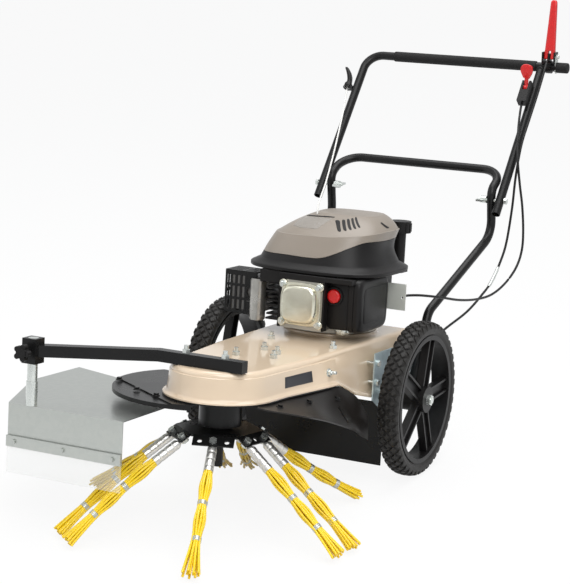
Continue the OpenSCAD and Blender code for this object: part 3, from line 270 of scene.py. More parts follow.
CREAM = Finish("cream_enamel", (0.72, 0.575, 0.42), (0.64, 0.50, 0.355), 0.20, Grain.PAINT, coat=0.5)
BLACK_COAT = Finish("black_powder_coat", (0.006, 0.006, 0.006), (0.012, 0.012, 0.012),
                    0.32, Grain.POWDER, specular=0.25)
BLACK_PLASTIC = Finish("black_moulding", (0.008, 0.0075, 0.0075), (0.014, 0.013, 0.013),
                       0.44, Grain.MOULDED, specular=0.22)
TAUPE = Finish("taupe_moulding", (0.262, 0.225, 0.186), (0.225, 0.192, 0.158), 0.36, Grain.MOULDED)
PALE_TAUPE = Finish("pale_taupe_moulding", (0.275, 0.252, 0.224), (0.24, 0.22, 0.195), 0.30, Grain.MOULDED)
ZINC = Finish("zinc_plate", (0.70, 0.73, 0.70), (0.54, 0.57, 0.55), 0.30, Grain.ZINC, metallic=0.85)
BLUE_ZINC = Finish("blue_zinc_plate", (0.60, 0.72, 0.76), (0.36, 0.47, 0.51), 0.34, Grain.ZINC, metallic=0.7)
SHEET_ZINC = Finish("galvanised_sheet", (0.51, 0.53, 0.50), (0.43, 0.46, 0.44),
                    0.34, Grain.SPANGLE, metallic=0.88)
CAST = Finish("cast_alloy", (0.46, 0.45, 0.41), (0.30, 0.29, 0.26), 0.46, Grain.CAST, metallic=0.85)
PALE_METAL = Finish("pale_plate", (0.74, 0.76, 0.70), (0.62, 0.64, 0.58), 0.36, Grain.ZINC, metallic=0.35)
COVER_METAL = Finish("pressed_cover", (0.74, 0.72, 0.60), (0.50, 0.48, 0.37), 0.26, Grain.ZINC, metallic=0.9)
CHROME = Finish("ferrule_metal", (0.74, 0.73, 0.70), (0.58, 0.57, 0.55), 0.36, Grain.ZINC, metallic=0.9)
DARK_STEEL = Finish("heat_sheet", (0.14, 0.135, 0.13), (0.07, 0.068, 0.065), 0.42, Grain.CAST, metallic=0.8)
MOTTLED = Finish("mottled_sheet", (0.50, 0.49, 0.46), (0.10, 0.098, 0.09), 0.34, Grain.CAST, metallic=0.8)
RED = Finish("red_moulding", (0.58, 0.008, 0.008), (0.46, 0.006, 0.008), 0.32, Grain.MOULDED, coat=0.15)
RUBBER = Finish("tyre_rubber", (0.013, 0.012, 0.011), (0.024, 0.022, 0.020), 0.58, Grain.RUBBER, specular=0.3)
FOAM = Finish("grip_foam", (0.008, 0.008, 0.008), (0.015, 0.015, 0.015), 0.72, Grain.FOAM, specular=0.25)
CORD = Finish("brush_cord", (0.92, 0.66, 0.015), (0.80, 0.48, 0.006), 0.32, Grain.CORD, coat=0.2)
CLEAR = Finish("clear_sheet", (0.86, 0.87, 0.85), (0.78, 0.80, 0.78), 0.16, Grain.CLEAR, alpha=0.18)
ROPE = Finish("starter_rope", (0.80, 0.79, 0.76), (0.58, 0.57, 0.54), 0.70, Grain.ROPE)
SHEATH = Finish("cable_sheath", (0.006, 0.006, 0.006), (0.012, 0.012, 0.012),
                0.42, Grain.MOULDED, specular=0.3)
PLATE_DARK = Finish("bare_plate", (0.016, 0.018, 0.024), (0.026, 0.028, 0.036), 0.35, Grain.MOULDED)
SKIRT_COAT = Finish("brown_black_coat", (0.010, 0.0085, 0.0075), (0.018, 0.015, 0.0125),
                    0.36, Grain.PAINT, specular=0.4)
FILTER = Finish("filter_felt", (0.08, 0.08, 0.085), (0.12, 0.12, 0.12), 0.85, Grain.FOAM)


def skin(rings: Array, loop: bool = False) -> Skin:
    """Skins rings of points, each counterclockwise as seen from the end of the run.

    Args:
        rings: Array of shape (rings, points, 3).
        loop: Joins the last ring to the first one instead of capping both.

    Returns:
        The points and faces.
    """
    m, n = rings.shape[:2]
    index = np.arange(m * n).reshape(m, n)
    here = index if loop else index[:-1]
    over = np.roll(index, -1, 0) if loop else index[1:]
    quads = np.stack([here, np.roll(here, -1, 1), np.roll(over, -1, 1), over], -1).reshape(-1, 4)
    faces = quads.tolist()
    if not loop:
        faces += [index[0, ::-1].tolist(), index[-1].tolist()]
    return rings.reshape(-1, 3), faces


def rounded_ring(half_u: float, half_v: float, square: float, count: int) -> Array:
    """Superellipse: u = a cos^(2/n), v = b sin^(2/n), counterclockwise; n = 2 is an ellipse.

    Args:
        half_u: Half width.
        half_v: Half height.
        square: Exponent n, larger for squarer corners.
        count: Points on the ring.

    Returns:
        Array of shape (count, 2).
    """
    t = np.linspace(0.0, 2.0 * math.pi, count, endpoint=False)
    c, s = np.cos(t), np.sin(t)
    p = 2.0 / square
    return np.stack([half_u * np.sign(c) * np.abs(c) ** p, half_v * np.sign(s) * np.abs(s) ** p], -1)


class Axis(Enum):
    """Direction in which a stack of rings runs."""

    UP = "z"
    FRONT = "-y"
    BACK = "y"
    LEFT = "x"


def stack(axis: Axis, stations: Sequence[Station], count: int) -> Array:
    """Rings of rounded rectangles along an axis.

    Args:
        axis: Direction of the run.
        stations: For each ring its place along the axis, half width, half height, middle across and up,
            and squareness.
        count: Points on each ring.

    Returns:
        Array of shape (stations, count, 3); the run follows the axis.
    """
    rings = []
    for w, a, b, cu, cv, n in stations:
        uv = rounded_ring(a, b, n, count) + np.array([cu, cv])
        u, v, flat = uv[:, 0], uv[:, 1], np.full(count, w)
        if axis is Axis.UP:
            rings.append(np.stack([u, v, flat], -1))
        elif axis is Axis.FRONT:
            rings.append(np.stack([u, flat, v], -1))
        elif axis is Axis.BACK:
            rings.append(np.stack([u[::-1], flat, v[::-1]], -1))
        else:
            rings.append(np.stack([flat, u, v], -1))
    return np.stack(rings)


def sweep(line: Array, radius: Array | float, across: Sequence[float], sides: int) -> Array:
    """Circles of a radius at each point of a line, square to it and turned towards one fixed direction.

    Args:
        line: Points of shape (n, 3).
        radius: One radius or one for each point.
        across: Direction that the first side faces.
        sides: Points on each ring.

    Returns:
        Array of shape (n, sides, 3).
    """
    run = unit(np.gradient(line, axis=0))
    side = np.asarray(across, float)
    u = unit(side - run * (run @ side)[:, None])
    v = np.cross(run, u)
    t = np.linspace(0.0, 2.0 * math.pi, sides, endpoint=False)
    r = np.broadcast_to(np.asarray(radius, float), (len(line),))[:, None, None]
    return line[:, None] + r * (u[:, None] * np.cos(t)[:, None] + v[:, None] * np.sin(t)[:, None])


def bent_line(points: Sequence[Sequence[float]], bends: Sequence[float], steps: int = 14) -> Array:
    """Straight runs joined by arcs of the given bend radius at each inner point.

    Args:
        points: Corner points.
        bends: Radius at each point; the ends' are not read.
        steps: Points on each arc.

    Returns:
        Points along the line.
    """
    p = np.asarray(points, float)
    line = [p[0]]
    for i in range(1, len(p) - 1):
        a, b = unit(p[i] - p[i - 1]), unit(p[i + 1] - p[i])
        turn = math.acos(float(np.clip(a @ b, -1.0, 1.0)))
        x = unit(a * (a @ b) - b)
        centre = p[i] - a * bends[i] * math.tan(turn / 2.0) - x * bends[i]
        t = np.linspace(0.0, turn, steps)[:, None]
        line.extend(centre + bends[i] * (x * np.cos(t) + a * np.sin(t)))
    line.append(p[-1])
    return np.array(line)


def smooth_line(points: Sequence[Sequence[float]], steps: int) -> Array:
    """Cubic through given points, whose slope at each point is half its neighbours' span.

    Args:
        points: Points to pass through.
        steps: Points laid on each span.

    Returns:
        Points along the line.
    """
    p = np.asarray(points, float)
    a, b, c = np.vstack([p[:1], p[:-2]]), p[:-1], p[1:]
    d = np.vstack([p[2:], p[-1:]])
    t = np.linspace(0.0, 1.0, steps, endpoint=False)[None, :, None]
    a, b, c, d = (v[:, None] for v in (a, b, c, d))
    runs = 0.5 * (2 * b + (c - a) * t + (2 * a - 5 * b + 4 * c - d) * t**2 + (3 * b - a - 3 * c + d) * t**3)
    return np.vstack([runs.reshape(-1, 3), p[-1:]])


def turned(profile: Sequence[Sequence[float]], count: int, centre: Sequence[float],
           axis: Sequence[float]) -> Array:
    """Turns a profile of (radius, height) pairs about an axis.

    Args:
        profile: Radius and height of each ring, from the lower end up.
        count: Points on each ring.
        centre: Point of the axis at height zero.
        axis: Direction of the axis.

    Returns:
        Rings of shape (len(profile), count, 3), counterclockwise as seen from the axis' tip.
    """
    z = unit(np.asarray(axis, float))
    x = unit(np.cross([0.31, 0.95, 0.07], z))
    y = np.cross(z, x)
    t = np.linspace(0.0, 2.0 * math.pi, count, endpoint=False)
    ring = np.cos(t)[:, None] * x + np.sin(t)[:, None] * y
    pr = np.asarray(profile, float)
    return np.asarray(centre, float) + pr[:, 0, None, None] * ring + pr[:, 1, None, None] * z


def join(skins: Sequence[Skin]) -> Skin:
    """Puts several skins into one list of points and faces.

    Args:
        skins: Skins to put together.

    Returns:
        The points and faces.
    """
    points, faces, base = [], [], 0
    for pts, fcs in skins:
        points.append(pts)
        faces.extend([[i + base for i in f] for f in fcs])
        base += len(pts)
    return np.vstack(points), faces


def sheet(face: Array, back: Array) -> Skin:
    """Closes two grids of points of one shape into a thin shell.

    Args:
        face: Outer grid, its columns and rows counterclockwise as seen from outside.
        back: Inner grid.

    Returns:
        The points and faces.
    """
    n, m = face.shape[:2]
    index = np.arange(n * m).reshape(n, m)
    quads = np.stack([index[:-1, :-1], index[:-1, 1:], index[1:, 1:], index[1:, :-1]], -1).reshape(-1, 4)
    rim = np.concatenate([index[0], index[1:, -1], index[-1, -2::-1], index[-2:0:-1, 0]])
    over = np.roll(rim, -1)
    sides = np.stack([rim + n * m, over + n * m, over, rim], -1)
    points = np.concatenate([face.reshape(-1, 3), back.reshape(-1, 3)])
    return points, quads.tolist() + sides.tolist() + (quads[:, ::-1] + n * m).tolist()


@dataclass
class Workshop:
    """Makes pieces, puts them on their bodies and dresses the frame's own nodes."""

    nodes: dict[str, bpy.types.Object]
    made: list[str] = field(default_factory=list)

    def piece(self, name: str, skins: Sequence[Skin], finish: Finish, replaces: Sequence[str] = (),
              body: str | None = "chassis", sharp: float = 35.0) -> bpy.types.Object:
        """Makes one piece from skins already in the row's frame.

        Args:
            name: Name of the piece.
            skins: Skins to join.
            finish: Its finish.
            replaces: Nodes that it stands for.
            body: Body that it rides on, or None for a piece left on no body.
            sharp: Angle in degrees above which an edge stays sharp.

        Returns:
            The new object.
        """
        points, faces = join(skins)
        mesh = bpy.data.meshes.new(name)
        mesh.from_pydata(points.tolist(), [], faces)
        mesh.polygons.foreach_set("use_smooth", np.ones(len(mesh.polygons), bool))
        mesh.set_sharp_from_angle(angle=math.radians(sharp))
        mesh.materials.append(finish.material())
        mesh.update()
        obj = bpy.data.objects.new(name, mesh)
        bpy.context.scene.collection.objects.link(obj)
        if body is not None:
            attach(obj, body)
        if replaces:
            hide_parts(*replaces)
        self.made.append(name)
        LOG.info("%s: %d points on %s", name, len(points), body)
        return obj

    def dress(self, finish: Finish, *names: str) -> None:
        """Gives nodes of the frame a finish in place of their plain colour.

        Args:
            finish: Finish to give.
            names: Names of the nodes.
        """
        for name in names:
            mesh = self.nodes[name].data
            mesh.materials.clear()
            mesh.materials.append(finish.material())


@dataclass(frozen=True)
class Lamp:
    """Square lamp: its name, place, width and power."""

    name: str
    place: tuple[float, float, float]
    width: float
    power: float


@dataclass
class Studio:
    """Camera at the photograph's place, soft lamps, pale floor and white surround."""

    eye: tuple[float, float, float] = (1.8783, -3.8973, 1.4454)
    look: tuple[float, float, float] = (-0.4405, 0.8692, -0.2247)
    roll: float = math.radians(0.752)
    lens: float = 117.17
    sensor: float = 36.0
    shift_y: float = -0.0336
    sight: float = 50.0
    lamp_set: tuple[Lamp, ...] = (
        Lamp("key", (1.8, -2.2, 3.2), 2.6, 78.0),
        Lamp("fill", (-3.0, -2.0, 2.2), 3.0, 20.0),
        Lamp("top", (0.1, 0.6, 3.8), 3.0, 95.0))
    aim: tuple[float, float, float] = (0.0, 0.0, 0.35)
    sky: tuple[float, float, float, float] = (0.95, 0.97, 1.0, 1.0)
    sky_strength: float = 0.52
    gloss_share: float = 0.4
    floor_colour: tuple[float, float, float, float] = (0.86, 0.86, 0.86, 1.0)
    floor_roughness: float = 0.9
    floor_glow: float = 0.90
    floor_half: float = 14.0
    floor_z: float = -0.001

    def camera(self) -> None:
        """Sets the camera from the place, direction and roll that were fitted to the photograph."""
        data = bpy.data.cameras.new("camera")
        data.lens = self.lens
        data.sensor_width = self.sensor
        data.shift_y = self.shift_y
        data.clip_end = self.sight
        cam = bpy.data.objects.new("camera", data)
        bpy.context.scene.collection.objects.link(cam)
        forward = Vector(self.look).normalized()
        right = forward.cross(Vector((0, 0, 1))).normalized()
        up = right.cross(forward)
        turn = Matrix((right, up, -forward)).transposed() @ Matrix.Rotation(self.roll, 3, "Z")
        cam.matrix_world = Matrix.Translation(Vector(machine(self.eye))) @ turn.to_4x4()
        bpy.context.scene.camera = cam

    def lamps(self) -> None:
        """Hangs a broad key, a fill and a top lamp round the machine."""
        for lamp in self.lamp_set:
            data = bpy.data.lights.new(lamp.name, "AREA")
            data.size = lamp.width
            data.energy = lamp.power
            obj = bpy.data.objects.new(lamp.name, data)
            obj.location = lamp.place
            aim = Vector(self.aim) - Vector(lamp.place)
            obj.rotation_euler = aim.to_track_quat("-Z", "Y").to_euler()
            bpy.context.scene.collection.objects.link(obj)

    def surround(self) -> None:
        """White world for the eye and, in part, for gloss, and an even grey one for light."""
        world = bpy.data.worlds.new("surround")
        world.use_nodes = True
        tree = world.node_tree
        light = tree.nodes["Background"]
        light.inputs["Color"].default_value = self.sky
        light.inputs["Strength"].default_value = self.sky_strength
        seen = tree.nodes.new("ShaderNodeBackground")
        seen.inputs["Color"].default_value = (1.0, 1.0, 1.0, 1.0)
        self._mix(tree, self._plain_ray(tree), light, seen, "World Output")
        bpy.context.scene.world = world

    def _math(self, tree: bpy.types.NodeTree, operation: str, first: bpy.types.NodeSocket,
              second: bpy.types.NodeSocket | float) -> bpy.types.NodeSocket:
        """Adds one arithmetic node.

        Args:
            tree: Node tree to add it to.
            operation: Name of the operation.
            first: Socket of its first value.
            second: Socket of its second value, or the value.

        Returns:
            Socket of the result.
        """
        node = tree.nodes.new("ShaderNodeMath")
        node.operation = operation
        tree.links.new(first, node.inputs[0])
        if isinstance(second, float):
            node.inputs[1].default_value = second
        else:
            tree.links.new(second, node.inputs[1])
        return node.outputs[0]

    def _mix(self, tree: bpy.types.NodeTree, share: bpy.types.NodeSocket, first: bpy.types.Node,
             second: bpy.types.Node, output: str) -> None:
        """Mixes two shaders into the tree's output.

        Args:
            tree: Node tree that holds them.
            share: Socket of the second shader's share.
            first: First shader.
            second: Second shader.
            output: Name of the output node.
        """
        mix = tree.nodes.new("ShaderNodeMixShader")
        tree.links.new(share, mix.inputs["Fac"])
        tree.links.new(first.outputs[0], mix.inputs[1])
        tree.links.new(second.outputs[0], mix.inputs[2])
        tree.links.new(mix.outputs[0], tree.nodes[output].inputs["Surface"])

    def _plain_ray(self, tree: bpy.types.NodeTree) -> bpy.types.NodeSocket:
        """Adds the test for rays that see the background.

        They come from the eye, through a clear piece or, in part, by gloss.

        Args:
            tree: Node tree to add it to.

        Returns:
            Socket of the share.
        """
        path = tree.nodes.new("ShaderNodeLightPath")
        direct = self._math(tree, "MAXIMUM", path.outputs["Is Camera Ray"], path.outputs["Is Transmission Ray"])
        gloss = self._math(tree, "MULTIPLY", path.outputs["Is Glossy Ray"], self.gloss_share)
        return self._math(tree, "MAXIMUM", direct, gloss)

    def floor(self) -> None:
        """Lays a wide pale floor that keeps a soft shadow."""
        mat = bpy.data.materials.new("pale_floor")
        mat.use_nodes = True
        tree = mat.node_tree
        shader = tree.nodes["Principled BSDF"]
        shader.inputs["Base Color"].default_value = self.floor_colour
        shader.inputs["Roughness"].default_value = self.floor_roughness
        glow = tree.nodes.new("ShaderNodeEmission")
        share = self._math(tree, "MULTIPLY", self._plain_ray(tree), self.floor_glow)
        self._mix(tree, share, shader, glow, "Material Output")
        mesh = bpy.data.meshes.new("floor")
        s, z = self.floor_half, self.floor_z
        mesh.from_pydata([(-s, -s, z), (s, -s, z), (s, s, z), (-s, s, z)], [], [(0, 1, 2, 3)])
        mesh.materials.append(mat)
        obj = bpy.data.objects.new("floor", mesh)
        bpy.context.scene.collection.objects.link(obj)

    def build(self) -> None:
        """Sets camera, lamps, surround and floor."""
        self.camera()
        self.lamps()
        self.surround()
        self.floor()
        bpy.context.scene.view_settings.view_transform = "Standard"


THROTTLE_ROUTE = (
    (233, 671.3, 784.2), (236, 655, 768), (244, 624, 734), (256, 590, 696), (268, 563, 652), (275, 566, 592),
    (277, 584, 536), (278, 596, 470), (277, 594, 420), (273, 568, 380), (266, 512, 350), (258, 440, 335),
    (248, 362, 338), (238, 272, 354), (222, 190, 376), (198, 132, 390), (178, 104, 393.6), (172, 93, 393.4),
    (172, 80.3, 393),
)
CLUTCH_ROUTE = (
    (266, 766.9, 888), (266, 756, 884), (268, 736, 866), (268, 690, 810), (267, 640, 752), (266, 596, 700),
    (264.5, 574, 650), (263, 562, 600), (262, 551, 535), (259, 530, 455), (256, 504, 412), (250, 459, 365),
    (245, 408, 340), (235, 334, 311), (218, 244, 288), (206, 170, 268), (198, 100, 256), (190, 50, 249),
    (180, 30, 248), (172.3, 30, 248),
)
ROPE_ROUTE = (
    (-273, 705, 786.6), (-272, 698, 780), (-262, 672, 770), (-220, 566, 740), (-172, 438, 704),
    (-120, 296, 664), (-72, 160, 628), (-37, 54, 603), (-29.1, 29.4, 580.4),
)


@dataclass(frozen=True)
class CordRun:
    """What one cord is.

    Attributes:
        piece: Name of the piece.
        node: Node that it stands for.
        route: Points in millimetres of the machine's frame.
        radius: Radius of the cord.
        finish: Its finish.
        lay: How it lies; not used.
        stiffness: How stiff it is; not used.
        steps: Points laid on each span.
    """

    piece: str
    node: str
    route: Sequence[Sequence[float]]
    radius: float
    finish: Finish
    lay: str
    stiffness: str
    steps: int

    def line(self) -> Array:
        """Middle line of the cord in the row's frame, smoothed through its route."""
        return machine(smooth_line(np.asarray(self.route) / MM_PER_M, self.steps))


THROTTLE_RUN = CordRun("throttle_cable_run", "throttle_cable", THROTTLE_ROUTE, 0.003, SHEATH,
                       "hanging", "stiff", 8)
CLUTCH_RUN = CordRun("clutch_cable_run", "clutch_cable", CLUTCH_ROUTE, 0.003, SHEATH, "hanging", "stiff", 8)
ROPE_RUN = CordRun("starter_rope_run", "starter_rope", ROPE_ROUTE, 0.002, ROPE, "taut", "limp", 10)


@dataclass
class Cords:
    """Throttle cable, clutch cable and starter rope along the frame's own routes."""

    shop: Workshop
    sides: int = 12
    below_fold: tuple[float, float, float] = (0.0, 0.0, -0.16)
    above_fold: tuple[float, float, float] = (0.0, 0.04, 0.14)

    def lay(self, run: CordRun) -> bpy.types.Object:
        """Args:
            run: What the cord is.

        Returns:
            The cord.
        """
        line = run.line()
        tube = skin(sweep(line, run.radius, CORD_FACING, self.sides))
        obj = self.shop.piece(run.piece, [tube], run.finish, [run.node], None)
        return obj

    def build(self) -> None:
        """Lays the three cords and bakes their placing into their points."""
        throttle, clutch, rope = (self.lay(run) for run in (THROTTLE_RUN, CLUTCH_RUN, ROPE_RUN))
        fold = Vector(machine((0.0, *HANDLE_FOLD)))
        low, high = fold + Vector(self.below_fold), fold + Vector(self.above_fold)
        for cable in (throttle, clutch):
            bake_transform(cable)
            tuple(low)
            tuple(high)
        ends = machine(np.asarray(ROPE_ROUTE) / MM_PER_M)
        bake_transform(rope)


@dataclass
class BrushSet:
    """Rotor's corded bundles with their ferrules and crimped collars."""

    shop: Workshop
    flanges: int = 6
    apothem: float = 0.084
    rotor_z: float = -0.018
    drop: float = math.radians(36.0)
    turn: float = math.radians(21.0)
    hole_pitch: float = 0.029
    tongue_z: float = -0.0041
    tongue_half: tuple[float, float] = (0.009, 0.002)
    root: float = 0.079
    length: float = 0.245
    tip_lift: float = 0.0126
    cord_r: float = 0.0027
    cord_gap: float = 0.0002
    outer_cords: int = 10
    outer_r: float = 0.0070
    inner_cords: int = 4
    inner_r: float = 0.0030
    bellies: tuple[float, ...] = (1.0, 1.0, 1.75, 1.0, 1.0, 1.7, 1.0, 1.0, 1.45)
    tip_fan: float = 0.9
    ferrule_r: float = 0.0105
    crimps: tuple[float, ...] = (0.044, 0.062, 0.080)
    crimp_depth: float = 0.0007
    collars: tuple[float, float] = (0.092, 0.172)
    collar_half: float = 0.0055
    collar_r: float = 0.0102
    collar_bore: float = 0.0088

    def places(self) -> list[tuple[int, float]]:
        """Flange number and sideways offset of each bundle, one and two by turns."""
        pair = (-self.hole_pitch, self.hole_pitch)
        return [(k, off) for k in range(self.flanges) for off in (pair if k % 2 else (0.0,))]

    def azimuth(self, k: int) -> float:
        """Angle of a flange about the spindle."""
        return -math.pi / 2 + self.turn + math.pi / 3 * k

    def to_row(self, points: Array, k: int, off: float) -> Array:
        """Turns points of a bundle's frame down by the drop, round by the azimuth and into the row's frame.

        Args:
            points: Points out along the flange, sideways and square to it.
            k: Number of the flange.
            off: Sideways offset of the bundle.

        Returns:
            The points in the row's frame.
        """
        p = np.asarray(points, float) + np.array([0.0, off, self.tongue_z])
        cd, sd = math.cos(self.drop), math.sin(self.drop)
        x = p[..., 0] * cd + p[..., 2] * sd + self.apothem
        z = -p[..., 0] * sd + p[..., 2] * cd + self.rotor_z
        ca, sa = math.cos(self.azimuth(k)), math.sin(self.azimuth(k))
        return deck(np.stack([x * ca - p[..., 1] * sa, SPINDLE_Y + x * sa + p[..., 1] * ca, z], -1))

    def sag(self, k: int, off: float) -> float:
        """Quadratic sag that brings the bundle's tip down to the ground.

        Args:
            k: Number of the flange.
            off: Sideways offset of the bundle.

        Returns:
            Drop at the tip over the length squared.
        """
        end = self.root + self.length
        reach = self.apothem + end * math.cos(self.drop) + self.tongue_z * math.sin(self.drop)
        height = self.rotor_z - end * math.sin(self.drop) + self.tongue_z * math.cos(self.drop)
        a = self.azimuth(k)
        y = SPINDLE_Y + reach * math.sin(a) + off * math.cos(a)
        ground = (self.tip_lift - AXLE_HEIGHT + y * math.sin(NOSE_UP)) / math.cos(NOSE_UP)
        return (height - ground) / self.length**2

    def axis_at(self, s: Array, c: float) -> tuple[Array, Array]:
        """Place along the flange and off it of a bundle's middle line, s from its root, with sag c s^2."""
        return self.root + s + c * s**2 * math.sin(self.drop), -c * s**2 * math.cos(self.drop)

    def cords(self) -> list[Skin]:
        """Ten cords round four in each bundle, which belly out between the collars and splay at the tip.

        Returns:
            One skin for each cord.
        """
        rng = np.random.default_rng(7)
        s = np.linspace(0.001, self.length, 46)
        near, far = (c + np.array([-0.006, 0.006]) for c in self.collars)
        knots = np.array([0.0, 0.016, 0.050, *near, 0.132, *far, self.length])
        belly = np.interp(s, knots, self.bellies)
        spread = np.convolve(np.pad(belly, 2, mode="edge"), np.ones(5) / 5, mode="valid")
        beyond = np.clip((s - self.collars[1]) / (self.length - self.collars[1]), 0, 1)
        fan = 1.0 + self.tip_fan * beyond
        skins: list[Skin] = []
        for k, off in self.places():
            x, z = self.axis_at(s, self.sag(k, off))
            for i in range(self.outer_cords + self.inner_cords):
                inner = i >= self.outer_cords
                share = (i - self.outer_cords + 0.5) / self.inner_cords if inner else i / self.outer_cords
                angle = 2 * math.pi * share + rng.uniform(-0.10, 0.10)
                r = (self.inner_r if inner else self.outer_r) * (1 + (spread - 1) * rng.uniform(0.75, 1.1))
                cut = (s >= self.length - 1e-6) * rng.uniform(0.0, 0.006)
                stray = rng.uniform(-1.0, 1.0, 2) * np.array([0.0040, 0.0008])
                drift = stray * (s / self.length)[:, None] ** 2
                across = r * math.cos(angle) * fan + drift[:, 0]
                height = z + r * math.sin(angle) + drift[:, 1]
                path = self.to_row(np.stack([x - cut, across, height], -1), k, off)
                path[:, 2] = np.maximum(path[:, 2], self.cord_r + self.cord_gap)
                skins.append(skin(sweep(path, self.cord_r, (0.2, 0.3, 0.9), 8)))
        return skins

    def ferrules(self) -> list[Skin]:
        """Superellipse rings that grow from a flat tongue, n = 6, into a tube, n = 2, with three crimps.

        Returns:
            One skin for each bundle.
        """
        s = np.concatenate([[0.004], np.linspace(0.0042, 0.093, 60)])
        grow = np.clip((s - 0.024) / 0.010, 0, 1)
        grow = grow * grow * (3 - 2 * grow)
        crimp = sum(np.exp(-((s - c) / 0.0022) ** 2) for c in self.crimps) * self.crimp_depth
        half_w, half_t = (h + (self.ferrule_r - h) * grow - crimp * grow for h in self.tongue_half)
        t = np.linspace(0, 2 * math.pi, 28, endpoint=False)
        p = (2.0 / (6.0 - 4.0 * grow))[:, None]
        cu, sv = np.cos(t)[None], np.sin(t)[None]
        u = half_w[:, None] * np.sign(cu) * np.abs(cu) ** p
        v = half_t[:, None] * np.sign(sv) * np.abs(sv) ** p
        rings = np.stack([np.broadcast_to(s[:, None], u.shape), u, v], -1)
        return [skin(self.to_row(rings, k, off)) for k, off in self.places()]

    def clamps(self) -> list[Skin]:
        """Two bands on each bundle, their radius a cosine along the band with its edges taken down.

        Returns:
            One skin for each band.
        """
        skins: list[Skin] = []
        w = np.linspace(-self.collar_half, self.collar_half, 17)
        wave = 0.0004 * np.cos(w / self.collar_half * math.pi * 3)
        ridge = self.collar_r + wave - 0.0008 * (np.abs(w) > 0.0052)
        t = np.linspace(0, 2 * math.pi, 24, endpoint=False)
        for k, off in self.places():
            c = self.sag(k, off)
            for s in self.collars:
                x, z = self.axis_at(np.array([s - 0.004, s + 0.004]), c)
                middle = np.array([x.mean(), 0.0, z.mean()])
                run = unit(np.array([x[1] - x[0], 0.0, z[1] - z[0]]))
                across = np.array([-run[2], 0.0, run[0]])
                circle = np.cos(t)[:, None] * np.array([0.0, 1.0, 0.0]) + np.sin(t)[:, None] * across
                outer = middle + w[:, None, None] * run + ridge[:, None, None] * circle
                inner = middle + w[::-1, None, None] * run + self.collar_bore * circle
                skins.append(skin(self.to_row(np.concatenate([outer, inner]), k, off), loop=True))
        return skins

    def build(self) -> None:
        """Makes cords, ferrules and collars."""
        self.shop.piece("brush_cords", self.cords(), CORD, ["brush_bundles"], "rotor", sharp=60)
        self.shop.piece("ferrule_tubes", self.ferrules(), CHROME, ["brush_ferrules"], "rotor", sharp=40)
        self.shop.piece("cord_clamps", self.clamps(), SHEET_ZINC, (), "rotor", sharp=50)


